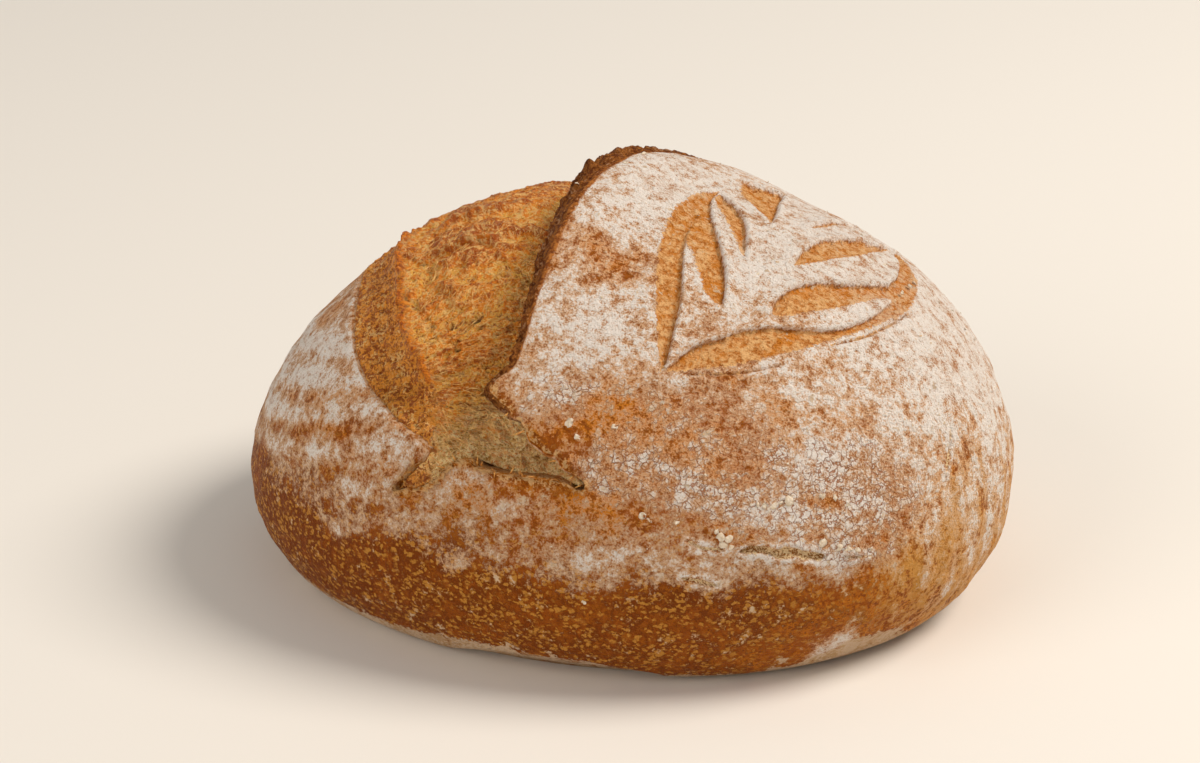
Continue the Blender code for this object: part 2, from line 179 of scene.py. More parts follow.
# How thickly flour lies: soft patches of the chart, as middle, half-lengths, turn in degrees
# and amount, added to FLOUR_LEVEL.  Negative patches are where the crust was left bare.
FLOUR_LEVEL = 0.64
FLOUR_PATCHES = [
    ((82, 8), (46, 52), 0, 0.62), ((76, -30), (19, 15), 0, 0.34), ((28, 10), (24, 40), 0, 0.42),
    ((-3, 0), (16, 26), 0, 0.52), ((-6, -39), (12, 8), -12, -0.34), ((-5, -61), (13, 13), 0, 0.34),
    ((13, -38), (6, 24), 6, 0.2), ((30, -26), (8, 18), 0, 0.26), ((56, -60), (16, 8), 22, 0.06),
    ((94, -54), (10, 7), 0, -0.12), ((105, -32), (7, 14), 12, -0.14), ((87, -67), (8, 5), 30, -0.1),
    ((41, -78), (12, 6), 10, -0.14), ((68, -76), (10, 6), 15, 0.22), ((86, -62), (10, 8), 0, 0.26),
    ((56, -76), (20, 8), 12, 0.14), ((82, -84), (13, 8), 32, 0.36), ((30, -82), (22, 7), 5, -0.24),
    ((0, -106), (10, 5), -20, 0.2), ((4, -86), (10, 7), 0, -0.16), ((-5, -97), (7, 8), -40, -0.5),
    ((-19, -86), (7, 8), 40, 0.1), ((22, -103), (22, 8), 0, 0.16), ((36, -114), (24, 4), 2, -0.34),
    ((56, -112), (9, 4), 4, -0.2), ((-16, -113.5), (20, 3.5), 2, -0.5),
    ((72, -92), (7, 3.5), 12, -0.5), ((64, -101), (15, 4), 25, 0.46), ((64, -84), (9, 8), 0, 0.3),
    ((44, -92), (9, 6), 20, -0.24), ((34, -66), (5, 12), -20, -0.2),
    ((86, -101), (10, 6), 30, 0.24), ((8, -118), (15, 6), 0, 0.06), ((-34, -112), (20, 5), 4, 0.08),
    ((25, -127), (9, 3.5), 4, 0.34), ((-8, -123), (64, 9), 2, -0.3), ((12, -138), (14, 9), 0, 0.2),
    ((66, -120), (30, 6), 22, 0.12), ((-52, -128), (20, 5), 8, -0.1),
    ((75, -119), (22, 7), 27, 0.2), ((-31, -131), (20, 6), -10, -0.2),
    ((-4, -138), (16, 5), 0, -0.24), ((-64, -117), (16, 6), -25, -0.14),
    ((7, -98), (7, 6), 0, -0.16), ((108, -94), (13, 18), 35, -0.3),
    ((122, -70), (14, 36), 15, -0.2), ((122, -132), (12, 15), 30, 1.4),
    ((-96, -36), (22, 44), 38, 0.34), ((-84, -76), (26, 12), -38, -0.22),
    ((-62, -94), (12, 6), -30, 0.12), ((-132, -76), (14, 46), 18, -0.5),
    ((-74, -103), (34, 5), -22, -0.3), ((-108, -104), (28, 17), -40, -0.5),
    ((-62, -117), (30, 6), -14, 0.06), ((-36, -105.5), (8, 2.5), 0, 0.2),
]
# By direction from the crown in degrees: how far out the bare belly and the base's rim begin.
BELLY_STARTS = [(-151, 133), (-126, 139), (-102, 128), (-80, 131), (-46, 130), (-36, 128), (-25, 124),
                (-8, 120), (20, 120), (60, 128), (90, 136), (150, 130)]
RIM_STARTS = [(-160, 186), (-124, 184), (-107, 179), (-86, 180), (-75, 189), (-60, 194), (-51, 185),
              (-44, 173), (-36, 175), (-28, 188), (20, 186), (60, 180), (100, 188), (150, 182)]

# The torn crumb.  Fibres fan out from a corner, in which the dough tore last.
FAN_MIDDLE = (-64, -79)
# Where one layer of crumb tore over another: a line, its height and the slope's length behind it.
SHELVES = [
    (((-64, -16), (-60, -21), (-55, -23.5), (-50, -21), (-45, -19), (-40, -21), (-34, -27)), 2.0, 5.0),
    (((-56, -30), (-52, -27), (-47, -27.5), (-42, -31)), 1.0, 3.5),
    (((-41, -21), (-35, -15.5), (-29, -13.5), (-22, -12)), 2.1, 5.5),
    (((-36, -27), (-31, -22), (-26, -20.5), (-21, -20)), 1.0, 3.0),
    (((-58, -5), (-50, -1), (-42, -2), (-35, 2), (-28, 3)), 1.2, 5.0),
    (((-49, -74), (-41, -71), (-34, -68.5), (-27, -67), (-22, -66)), 1.5, 3.0),
    (((-47, -68), (-41, -64.5), (-34, -60), (-28, -53)), 1.3, 3.0),
    (((-48, -83), (-40, -80), (-34, -77), (-27, -76)), 1.2, 2.6),
    (((-53, -80), (-47, -86), (-41, -89), (-35, -92), (-27, -94)), 1.1, 2.6),
    (((-51, -90), (-43, -94), (-36, -97), (-28, -99)), 0.8, 2.2),
    (((-58, -40), (-53, -46), (-49, -54), (-47, -62)), 0.9, 2.6),
    (((-51, -35), (-46, -41), (-43, -48)), 0.9, 2.4),
    (((-36, -36), (-33, -44), (-32, -52)), 0.8, 2.4),
]
# Bubbles that tore open: middle, half-length, half-width, turn in degrees, depth.
HOLE_RIM = 0.35
HOLES = [
    ((-38.6, -53.5), 2.9, 1.1, 48, 3.2),
    ((-36.8, -57.0), 1.7, 0.9, 62, 2.2),
    ((-44.7, -57.0), 2.3, 1.1, 55, 2.6),
    ((-42.0, -62.5), 1.8, 0.8, 40, 2.4),
    ((-43.5, -60.0), 1.2, 0.6, 50, 1.8),
    ((-41.0, -65.2), 1.1, 0.6, 20, 2.0),
    ((-31.5, -80.0), 1.9, 1.2, -12, 2.6),
    ((-28.7, -80.6), 1.2, 1.1, 0, 2.2),
    ((-34.6, -79.4), 1.1, 0.9, 10, 1.6),
    ((-31.7, -58.5), 2.2, 0.7, 35, 1.6),
    ((-25.9, -61.5), 2.0, 0.8, 30, 1.8),
    ((-26.8, -34.0), 2.6, 1.0, 60, 1.8),
    ((-44.0, -98.0), 3.5, 2.2, 20, 1.0),
    ((-36.0, -93.5), 3.0, 1.2, -10, 0.9),
    ((-24.0, -97.5), 4.0, 1.6, -30, 1.0),
    ((-14.0, -104.5), 3.6, 1.2, -28, 1.2),
    ((-73.0, -49.5), 1.0, 0.7, 0, 0.9),
    ((-70.0, -31.0), 1.2, 0.8, 30, 0.9),
    ((-66.5, -55.0), 1.1, 0.8, 0, 0.9),
]

# Lumps and flakes of flour: place on the chart, size in millimetres.
FLOUR_LUMPS = [
    ((61.5, -96.5), 3.0), ((59.5, -98.0), 1.5), ((58.0, -99.8), 2.0), ((55.5, -101.0), 1.7),
    ((53.5, -101.6), 1.4), ((57.5, -101.8), 1.3), ((52.0, -102.8), 1.2), ((47.5, -115.0), 3.0),
    ((50.0, -114.5), 2.6), ((49.0, -116.8), 2.0), ((45.6, -114.0), 1.6), ((52.0, -116.5), 1.5),
    ((22.5, -116.0), 2.2), ((25.0, -116.6), 1.2), ((33.5, -115.3), 1.4), ((78.0, -102.0), 2.3),
    ((84.0, -100.0), 2.4), ((87.0, -99.0), 2.0), ((90.0, -97.0), 1.7), ((94.0, -94.0), 1.5),
    ((8.0, -92.0), 1.6), ((16.0, -82.0), 1.3), ((11.0, -146.5), 1.3), ((70.0, -90.0), 1.5),
    ((74.0, -88.5), 1.3), ((79.0, -88.0), 1.6), ((66.0, -6.0), 1.4), ((67.5, 2.0), 1.8), ((69.0, 8.0), 1.3),
    ((-10, 4), 1.5), ((-7.5, 14), 1.6), ((-18, -10), 1.1), ((-4.5, -92.5), 2.6), ((-1.5, -96.5), 1.5),
]


def hex_to_linear(code):
    """An sRGB hex colour as linear RGBA."""
    values = [int(code[i:i + 2], 16) / 255 for i in (1, 3, 5)]
    return (*[v / 12.92 if v <= 0.04045 else ((v + 0.055) / 1.055) ** 2.4 for v in values], 1.0)


def smooth_step(low, high, value):
    """0 below low, 1 above high, and a smooth rise between."""
    share = np.clip((value - low) / (high - low), 0.0, 1.0)
    return share * share * (3 - 2 * share)


def window(opens, opened, shuts, shut, value):
    """1 from opened to shuts, with a smooth rise before and a smooth fall after."""
    return smooth_step(opens, opened, value) * (1 - smooth_step(shuts, shut, value))


def fading(gap, reach):
    """1 where a gap is nothing, and less the wider it is, with e to the -1 at the reach."""
    return np.exp(-(gap / reach) ** 2)


def tapered(along):
    """0 at both ends of a line and 1 halfway, for places from 0 to 1 along it."""
    return np.sqrt(np.clip(4 * along * (1 - along), 0, 1))


def unit(vectors):
    """Vectors scaled to a length of one."""
    return vectors / np.linalg.norm(vectors, axis=-1, keepdims=True)


# ---------------------------------------------------------------------------------------------
# Noise, in millimetres

def scatter_hash(cells, seed):
    """A number from 0 to 1 for each whole-numbered cell."""
    mixed = (cells * (374761393, 668265263, 2147483647)).sum(axis=-1) + seed * 1274126177
    mixed = (mixed ^ (mixed >> 13)) * 1103515245
    mixed = (mixed ^ (mixed >> 16)) & 0xFFFFFF
    return mixed / float(0xFFFFFF)


def soft_noise(points, size, seed):
    """Smooth noise from -1 to 1 with features of about the given size."""
    scaled = points / size
    cells = np.floor(scaled).astype(np.int64)
    local = scaled - cells
    ease = local ** 3 * (local * (local * 6 - 15) + 10)
    total = np.zeros(len(points))
    for corner in itertools.product((0, 1), repeat=3):
        weight = np.prod(np.where(corner, ease, 1 - ease), axis=-1)
        total += weight * scatter_hash(cells + corner, seed)
    return total * 2 - 1


def fractal(points, size, seed, octaves=3):
    """Noise with finer and fainter features added, from about -1 to 1."""
    total, share = np.zeros(len(points)), 1.0
    for octave in range(octaves):
        total += share * soft_noise(points, size / 2 ** octave, seed + octave)
        share *= 0.5
    return total / 1.5


def bubbles(points, size, seed):
    """Distances to the nearest and the second nearest of scattered points, over their spacing."""
    scaled = points / size
    cells = np.floor(scaled).astype(np.int64)
    first, second = np.full(len(points), 9.0), np.full(len(points), 9.0)
    for step in itertools.product((-1, 0, 1), repeat=3):
        cell = cells + step
        spot = cell + np.stack([scatter_hash(cell, seed + axis) for axis in range(3)], axis=-1)
        gap = np.linalg.norm(spot - scaled, axis=-1)
        second = np.minimum(second, np.maximum(first, gap))
        first = np.minimum(first, gap)
    return first, second


# ---------------------------------------------------------------------------------------------
# The chart

def crust_point(u, v):
    """The place on the plain dome of a point of the chart, in millimetres, before centring."""
    u, v = np.asarray(u, float), np.asarray(v, float)
    polar = np.clip(np.hypot(u, v) / QUARTER, 0.0, 2.0) * math.pi / 2
    turn = np.arctan2(v, u)
    drop = np.where(np.cos(polar) > 0, DOME_HEIGHT - WAIST_HEIGHT, BELLY_DROP)
    level = WAIST_HEIGHT + drop * np.cos(polar)
    rounded = (level + BASE_ROUND) ** 2 / (4 * BASE_ROUND)
    z = np.where(level > BASE_ROUND, level, np.where(level < -BASE_ROUND, 0.0, rounded))
    radius = np.sin(polar) * (1 + LOBE * np.cos(3 * (turn - LOBE_TURN)))
    share = z / DOME_HEIGHT
    x = HALF_LENGTH * radius * np.cos(turn) + LEAN_RIGHT * share
    y = HALF_DEPTH * radius * np.sin(turn) - LEAN_FRONT * share
    return np.stack([x, y, z], axis=-1)


def crust_normal(u, v, step=0.3):
    """The outward direction of the dome at a point of the chart."""
    along_u = crust_point(u + step, v) - crust_point(u - step, v)
    along_v = crust_point(u, v + step) - crust_point(u, v - step)
    return unit(np.cross(along_u, along_v))


def find_middle():
    """Where the middle of the loaf's box lies before centring, from its widest places."""
    turn, out = np.meshgrid(np.linspace(0, 2 * math.pi, 721), np.linspace(110, 170, 61))
    places = crust_point(out * np.cos(turn), out * np.sin(turn)).reshape(-1, 3)
    middle = 0.5 * (places.min(axis=0) + places.max(axis=0))
    middle[2] = 0.0
    return middle


BOX_MIDDLE = np.array([(LOW.x + HIGH.x) / 2, (LOW.y + HIGH.y) / 2, LOW.z])
SHIFT = BOX_MIDDLE / MM - find_middle()


def on_chart(flat):
    """Chart points as places for noise, all at one height."""
    return np.column_stack([flat, np.zeros(len(flat))])


def turned(flat, middle, degrees):
    """Chart points from a middle, measured along and across a direction."""
    angle = math.radians(degrees)
    gap = flat - middle
    along = gap[:, 0] * math.cos(angle) + gap[:, 1] * math.sin(angle)
    across = -gap[:, 0] * math.sin(angle) + gap[:, 1] * math.cos(angle)
    return along, across


def raised(flat, height):
    """Chart points, moved out from the dome by a height, in metres in the shared frame."""
    place = crust_point(flat[:, 0], flat[:, 1]) + SHIFT
    return (place + crust_normal(flat[:, 0], flat[:, 1]) * height[:, None]) * MM


def curve_through(points, closed=False, steps=12):
    """A dense Catmull-Rom curve through the points."""
    knots = np.array(points, float)
    if closed:
        knots = np.vstack([knots[-1], knots, knots[:2]])
    else:
        knots = np.vstack([2 * knots[0] - knots[1], knots, 2 * knots[-1] - knots[-2]])
    t = np.arange(steps)[:, None] / steps
    spans = []
    for before, start, end, after in zip(knots, knots[1:], knots[2:], knots[3:]):
        spans.append(0.5 * (2 * start + (end - before) * t
                            + (2 * before - 5 * start + 4 * end - after) * t ** 2
                            + (3 * start - before - 3 * end + after) * t ** 3))
    if not closed:
        spans.append(knots[-2][None])
    return np.vstack(spans)


def ring_of(loop):
    """A loop with its first point again at its end."""
    return np.vstack([loop, loop[:1]])


def even_points(curve, count):
    """Points evenly spaced along a closed curve."""
    ring = ring_of(curve)
    length = np.concatenate([[0.0], np.cumsum(np.linalg.norm(np.diff(ring, axis=0), axis=1))])
    wanted = np.arange(count) / count * length[-1]
    return np.stack([np.interp(wanted, length, ring[:, axis]) for axis in (0, 1)], axis=-1)


def distance_to(curve, flat, reach=None):
    """Distance on the chart to a curve, and where along it (0 to 1) it is nearest.

    With a reach, points further off than that from the curve's box are only said to be far.
    """
    nearest, along = np.full(len(flat), 999.0), np.zeros(len(flat))
    near = np.arange(len(flat))
    if reach is not None:
        low, high = curve.min(axis=0) - reach, curve.max(axis=0) + reach
        near = np.flatnonzero(((flat > low) & (flat < high)).all(axis=1))
    start, run = curve[:-1], np.diff(curve, axis=0)
    length = np.maximum((run ** 2).sum(axis=1), 1e-12)
    for part in np.array_split(near, max(1, len(near) * len(start) // 300000)):
        gap = flat[part, None] - start
        share = np.clip((gap * run).sum(axis=-1) / length, 0.0, 1.0)
        gap = ((gap - share[..., None] * run) ** 2).sum(axis=-1)
        best = gap.argmin(axis=1)
        row = np.arange(len(part))
        nearest[part] = np.sqrt(gap[row, best])
        along[part] = (best + share[row, best]) / len(start)
    return nearest, along


def gap_to(curve, flat, reach=None):
    """Distance on the chart to a curve."""
    return distance_to(curve, flat, reach)[0]


def is_inside(loop, flat):
    """Which points lie inside a closed loop."""
    result = np.zeros(len(flat), bool)
    near = np.flatnonzero(((flat > loop.min(axis=0)) & (flat < loop.max(axis=0))).all(axis=1))
    x, y = flat[near].T
    crossings = np.zeros(len(near), int)
    for start, end in zip(loop, np.roll(loop, -1, axis=0)):
        if start[1] != end[1]:
            spans = (start[1] > y) != (end[1] > y)
            crossings += spans & (x < start[0] + (end[0] - start[0]) * (y - start[1]) / (end[1] - start[1]))
    result[near] = crossings % 2 == 1
    return result


EAR_CURVE = curve_through(EAR_EDGE, steps=5)
TEAR_CURVE = curve_through(TEAR_EDGE + EAR_EDGE[:1], steps=5)
LEFT_CURVE = curve_through(LEFT_EDGE, steps=5)
RIDGE_CURVE = curve_through(RIDGE, steps=5)
OPENING = curve_through(EAR_EDGE + BACK_EDGE + LEFT_EDGE + TEAR_EDGE, closed=True, steps=8)


def ear_lift(v):
    """Height of the ear's edge above the dome, for a place along it given by its v."""
    rise = (EAR_TIP_LIFT * smooth_step(*EAR_TIP_RISES, v)
            + (EAR_LIFT - EAR_TIP_LIFT) * smooth_step(*EAR_RISES, v))
    return rise * (1 - smooth_step(*EAR_SINKS, v))


def crust_rise(flat):
    """Height of the crust above the plain dome: the ear, fading to its right."""
    gap = gap_to(EAR_CURVE, flat)
    return ear_lift(flat[:, 1]) * fading(gap, EAR_REACH)


def bloom_height(flat):
    """Height of the crumb in the opening above the plain dome, without its fine relief."""
    u, v = flat.T
    ear_gap = gap_to(EAR_CURVE, flat)
    tear_gap = gap_to(TEAR_CURVE, flat)
    ridge_gap, along = distance_to(RIDGE_CURVE, flat)
    corner_gap = np.hypot(u - EAR_EDGE[0][0], v - EAR_EDGE[0][1])
    top_gap = np.hypot(u - BLOOM_TOP[0], v - BLOOM_TOP[1])
    beside_ear = EAR_POCKET[0] * fading(ear_gap, EAR_POCKET[1]) * (1 - smooth_step(25, 80, v))
    notch_gap = np.hypot(u - NOTCH[0], v - NOTCH[1])
    behind_tear = (TEAR_POCKET[0] * fading(tear_gap, TEAR_POCKET[1])
                   * (0.35 + 0.65 * smooth_step(4, 26, notch_gap))
                   * (0.2 + 0.8 * smooth_step(2, 20, gap_to(LEFT_CURVE, flat))))
    pocket = np.hypot(beside_ear, behind_tear) * smooth_step(0, POCKET_CLOSES, corner_gap)
    ridge = RIDGE_SIZE[0] * fading(ridge_gap, RIDGE_SIZE[1])
    ridge = ridge * smooth_step(0.0, 0.15, along) * (1 - 0.7 * smooth_step(0.7, 1.0, along))
    swell = BLOOM_SWELL[0] * fading(top_gap, BLOOM_SWELL[1]) + fading(notch_gap, 7)
    return swell + ridge - BLOOM_DROP - pocket


# ---------------------------------------------------------------------------------------------
# Meshing

def lattice(spacing, jitter=0.0, seed=1):
    """A triangular lattice of points over the whole chart, each moved a little."""
    count = int(FLAT / spacing) + 2
    column, row = np.meshgrid(np.arange(-count, count + 1), np.arange(-count, count + 1))
    points = np.stack([((column + 0.5 * (row % 2)) * spacing).ravel(),
                       (row * spacing * 0.75 ** 0.5).ravel()], axis=-1)
    if jitter:
        points = points + np.random.default_rng(seed).uniform(-jitter, jitter, points.shape) * spacing
    return points[np.hypot(*points.T) < FLAT]


def lattice_inside(loop, spacing):
    """Lattice points well inside a loop."""
    points = lattice(spacing)
    points = points[is_inside(loop, points)]
    return points[gap_to(ring_of(loop), points) > 0.5 * spacing]


def graded_points(spacings, wanted_at):
    """Lattice points whose spacing follows wanted_at(), which gives an index into spacings."""
    chosen = []
    for index, spacing in enumerate(spacings):
        points = lattice(spacing, jitter=0.18, seed=index + 1)
        chosen.append(points[wanted_at(points) == index])
    return np.vstack(chosen)


def chart_triangles(loops, points, keep):
    """All chart points, and the triangles between loops and points whose middles keep() wants."""
    corners = np.vstack(loops + [points])
    edges, start = [], 0
    for loop in loops:
        edges += [(start + i, start + (i + 1) % len(loop)) for i in range(len(loop))]
        start += len(loop)
    found = delaunay_2d_cdt([Vector(corner) for corner in corners], edges, [], 0, 1e-6)
    flat = np.array(found[0])
    triangles = np.array(found[2])
    if len(flat) != len(corners):
        raise RuntimeError("the chart's points and loops cross each other")
    return flat, triangles[keep(flat[triangles].mean(axis=1))]


def inward(loop):
    """Unit directions on the chart from a loop's stations to its inside."""
    along = np.roll(loop, -2, axis=0) - np.roll(loop, 2, axis=0)
    into = np.stack([-along[:, 1], along[:, 0]], axis=-1)
    return unit(into)


STEP_TRIES = 24


def step_inward(loop, into, width):
    """A loop's stations moved inwards, less far where the opposite lip is near."""
    width = np.array(width, float)
    ring = ring_of(loop)
    for _ in range(STEP_TRIES):
        gap = gap_to(ring, loop + into * width[:, None])
        width = np.where(gap < 0.94 * np.abs(width), 0.87 * width, width)
    least = np.min([np.roll(width, turn) for turn in (-2, -1, 0, 1, 2)], axis=0)
    width = np.mean([np.roll(least, turn) for turn in (-2, -1, 0, 1, 2)], axis=0)
    return loop + into * width[:, None]


def strip(first, second, count):
    """Quads between two rows of a closed loop, as vertex numbers."""
    here = np.arange(count)
    ahead = (here + 1) % count
    return np.stack([first + here, first + ahead, second + ahead, second + here], axis=-1)


def make_object(name, places, faces, values, material):
    """A smooth mesh object with named numbers on its points."""
    mesh = bpy.data.meshes.new(name)
    mesh.from_pydata(places.tolist(), [], [list(map(int, face)) for face in faces])
    mesh.validate()
    if len(mesh.vertices) != len(places):
        raise RuntimeError(f"{name} lost points")
    for key, column in values.items():
        attribute = mesh.attributes.new(key, "FLOAT_VECTOR" if column.ndim == 2 else "FLOAT", "POINT")
        field = "vector" if column.ndim == 2 else "value"
        attribute.data.foreach_set(field, column.astype(np.float32).ravel())
    work = bmesh.new()
    work.from_mesh(mesh)
    bmesh.ops.recalc_face_normals(work, faces=work.faces)
    work.to_mesh(mesh)
    work.free()
    mesh.shade_smooth()
    mesh.materials.append(material)
    piece = bpy.data.objects.new(name, mesh)
    bpy.context.collection.objects.link(piece)
    return piece


# ---------------------------------------------------------------------------------------------
# The crust

FAR_OUTSIDE = -9.0    # distance inside a cut's edge, for places well away from it
CUT_LINES = [(curve_through(flush, steps=5), curve_through(step, steps=5)) for flush, step in LEAF_CUTS]
CUT_LOOPS = [np.vstack([flush, step[::-1]]) for flush, step in CUT_LINES]
FINE_LINES = [(curve_through(line, steps=5), width) for line, width in FINE_CUTS]
CRACK_LINES = [(curve_through(line, steps=5), width, depth) for line, width, depth in CRACKS]


def leaf_cut(flat):
    """How deep the leaf scoring is, the distance to its nearest edge, positive inside, and how
    near a place is to the wall under a stepped edge, where painted shadow goes, and to a flush edge."""
    depth, edge = np.zeros(len(flat)), np.full(len(flat), FAR_OUTSIDE)
    wall, flush_side = np.zeros(len(flat)), np.zeros(len(flat))
    for (flush, step), loop in zip(CUT_LINES, CUT_LOOPS):
        to_flush = gap_to(flush, flat, reach=6.0)
        to_step = gap_to(step, flat, reach=6.0)
        inside = is_inside(loop, flat)
        nearest = np.minimum(to_flush, to_step)
        edge = np.maximum(edge, np.where(inside, nearest, np.maximum(-nearest, FAR_OUTSIDE)))
        across = to_flush / np.maximum(to_flush + to_step, 1e-6)
        floor = (0.25 + 0.75 * across) * smooth_step(0.0, 1.8, to_flush) * smooth_step(0.0, 0.45, to_step)
        depth = np.maximum(depth, np.where(inside, floor, 0.0))
        # A painted shadow just inside the stepped edge, under its overhang.
        wall = np.maximum(wall, np.where(inside, fading(to_step, 0.5), 0.0))
        flush_side = np.maximum(flush_side, fading(to_flush, 3.0) * (to_step > to_flush))
    for line, width in FINE_LINES:
        gap, along = distance_to(line, flat, reach=4.0)
        taper = width * tapered(along)
        edge = np.maximum(edge, np.clip(taper - gap, FAR_OUTSIDE, -FAR_OUTSIDE))
        depth = np.maximum(depth, 0.5 * (1 - smooth_step(0.0, 1.0, gap / np.maximum(taper, 0.05))))
        # Fine strokes get a thin painted shadow along them too.
        wall = np.maximum(wall, 0.7 * fading(gap, 0.5) * (taper > 0.1))
    wall = np.where((depth > 0.6) & (edge > 1.0), 0.0, wall)
    return depth, edge, wall, flush_side


def crack_cut(flat):
    """How deep the cracks are, and the distance inside their edges."""
    depth, edge = np.zeros(len(flat)), np.full(len(flat), FAR_OUTSIDE)
    wavy = 1 + 0.8 * soft_noise(on_chart(flat), 2.6, 71)
    for line, width, deep in CRACK_LINES:
        gap, along = distance_to(line, flat, reach=5.0)
        taper = width * wavy * tapered(along)
        edge = np.maximum(edge, np.clip(taper - gap, FAR_OUTSIDE, -FAR_OUTSIDE))
        depth = np.maximum(depth, deep * (1 - smooth_step(0.35, 1.0, gap / np.maximum(taper, 0.05))))
    return depth, edge


def around(flat, knots):
    """A distance given for some directions from the crown, in degrees, and blended between them."""
    turn = np.degrees(np.arctan2(flat[:, 1], flat[:, 0]))
    return np.interp(turn, *np.array(knots, float).T, period=360)


def banneton_row(flat):
    """1 in the middle of a floured row, -1 in the middle of a bare one."""
    out = np.hypot(*(flat - BANNETON_MIDDLE).T)
    row = np.interp(out, BARE_ROWS, np.arange(len(BARE_ROWS)))
    return -np.cos(2 * math.pi * row)


def flour_level(flat):
    """How thickly flour lies, about 0 to 1."""
    level = np.full(len(flat), FLOUR_LEVEL)
    for middle, size, degrees, amount in FLOUR_PATCHES:
        along, across = turned(flat, middle, degrees)
        level += amount * np.exp(-((along / size[0]) ** 2 + (across / size[1]) ** 2) ** 1.3)
    wander = on_chart(flat * (0.7, 1.0))
    level += 0.2 * fractal(wander, 9.0, 201) + 0.12 * fractal(wander, 22.0, 203)
    left = 1 - smooth_step(-74, -40, flat[:, 0])
    ring = np.arctan2(flat[:, 1] - BANNETON_MIDDLE[1], flat[:, 0] - BANNETON_MIDDLE[0])
    weave = 0.7 + 0.5 * soft_noise(np.column_stack([ring * 16, np.hypot(*flat.T) / 6, 0 * ring]), 1.0, 205)
    level += banneton_row(flat) * weave * (0.05 + 0.27 * left) * smooth_step(70, 86, np.hypot(*flat.T))
    out = np.hypot(*flat.T) + 5 * soft_noise(wander, 26.0, 207) + 4 * fractal(wander, 8.0, 209)
    flank = smooth_step(80, 108, flat[:, 0]) * smooth_step(-128, -86, flat[:, 1])
    turn = np.arctan2(flat[:, 1], flat[:, 0])
    level += 0.34 * flank * soft_noise(np.column_stack([turn * 32, out / 15, 0 * turn]), 1.0, 211)
    below = (out - around(flat, BELLY_STARTS)) / (16 + 24 * flank)
    return level - (0.86 - 0.4 * flank) * smooth_step(0.0, 1.0, below)


def belly_and_side_shade_share(flat):
    """1 low on the loaf, where the bare crust is darker and speckled with blisters; more on the left and
    less on the right, as painted shade on the side away from the light.
    """
    return smooth_step(104, 142, np.hypot(*flat.T)) * (1.25 - 0.25 * smooth_step(-90, -20, flat[:, 0])
                                                       - 0.55 * smooth_step(50, 115, flat[:, 0]))


def lit_flank_share(flat):
    """1 on the right flank, the side towards the key light, which is painted paler there as painted light.
    """
    return smooth_step(84, 116, flat[:, 0]) * smooth_step(-135, -70, flat[:, 1])


def crazed_share(flat):
    """1 where the front's thick flour split into plates as the crust stretched."""
    u, v = flat.T
    front = np.exp(-((u - 22) / 42) ** 4 - ((v + 97) / 21) ** 4)
    right = np.exp(-((u - 84) / 22) ** 4 - ((v + 86) / 20) ** 4)
    return np.clip(front + right, 0, 1)


def base_rim(flat):
    """The pale rim where the loaf lay on floured paper."""
    out = np.hypot(*flat.T)
    return smooth_step(-3.5, 3.5, out - around(flat, RIM_STARTS))


def crust_relief(flat):
    """Bumps of the crust in millimetres, from the loaf's lumps down to its blisters."""
    solid = crust_point(flat[:, 0], flat[:, 1])
    out = np.hypot(*flat.T)
    lumps = 0.6 * fractal(solid, 34.0, 3) + 0.3 * fractal(solid, 8.0, 7)
    grain = 0.13 * fractal(solid, 2.6, 11, octaves=2)
    first, _ = bubbles(solid, 3.4, 17)
    blister = 0.16 * np.clip(1 - first / 0.42, 0, 1) ** 1.5 * smooth_step(95, 135, out)
    flank = smooth_step(60, 95, flat[:, 0]) * smooth_step(-125, -100, flat[:, 1])
    lumps += 0.7 * flank * fractal(solid * (1, 1, 0.45), 6.0, 19)
    rows = 0.16 * banneton_row(flat) * (1 - smooth_step(-70, -20, flat[:, 0]))
    return (lumps + grain + blister + rows) * (1 - smooth_step(FLAT - 30, FLAT - 6, out))


CRUST_SPACINGS = (0.5, 0.9, 1.35, 2.8)
FLOOR_SPACING, FLOOR_DEPTH = 3.2, 5.0


def crust_spacing(flat):
    """Which of CRUST_SPACINGS a place of the crust needs."""
    leaf_edge, crack_edge = leaf_cut(flat)[1], crack_cut(flat)[1]
    opening_gap = gap_to(ring_of(OPENING[::2]), flat, reach=6.0)
    back = flat[:, 1] > 34 + 0.25 * np.abs(flat[:, 0])
    under = np.hypot(*flat.T) > 190
    index = np.where(back | under, 3, 2)
    upper = (flat[:, 1] > -120) & (flat[:, 1] < 30) & (flat[:, 0] > -28) & (flat[:, 0] < 76)
    index = np.where(upper & (index == 2), 1, index)
    index = np.where((opening_gap < 3.0) & (index == 2), 1, index)
    return np.where((np.abs(leaf_edge) < 1.0) | (np.abs(crack_edge) < 0.9), 0, index)


def beside_ear(edge):
    """1 on the stretch of the opening's edge that the ear has."""
    return 1 - smooth_step(0.5, 9.0, gap_to(EAR_CURVE, edge))


def ear_form(on_ear, v):
    """How far the ear stands open, from 0 to 1, and its face's width on the chart beyond a lip's."""
    tip, middle = EAR_FACE
    return on_ear * window(*EAR_OPEN, v), tip - LIP + (middle - tip) * smooth_step(*EAR_FACE_WIDENS, v)


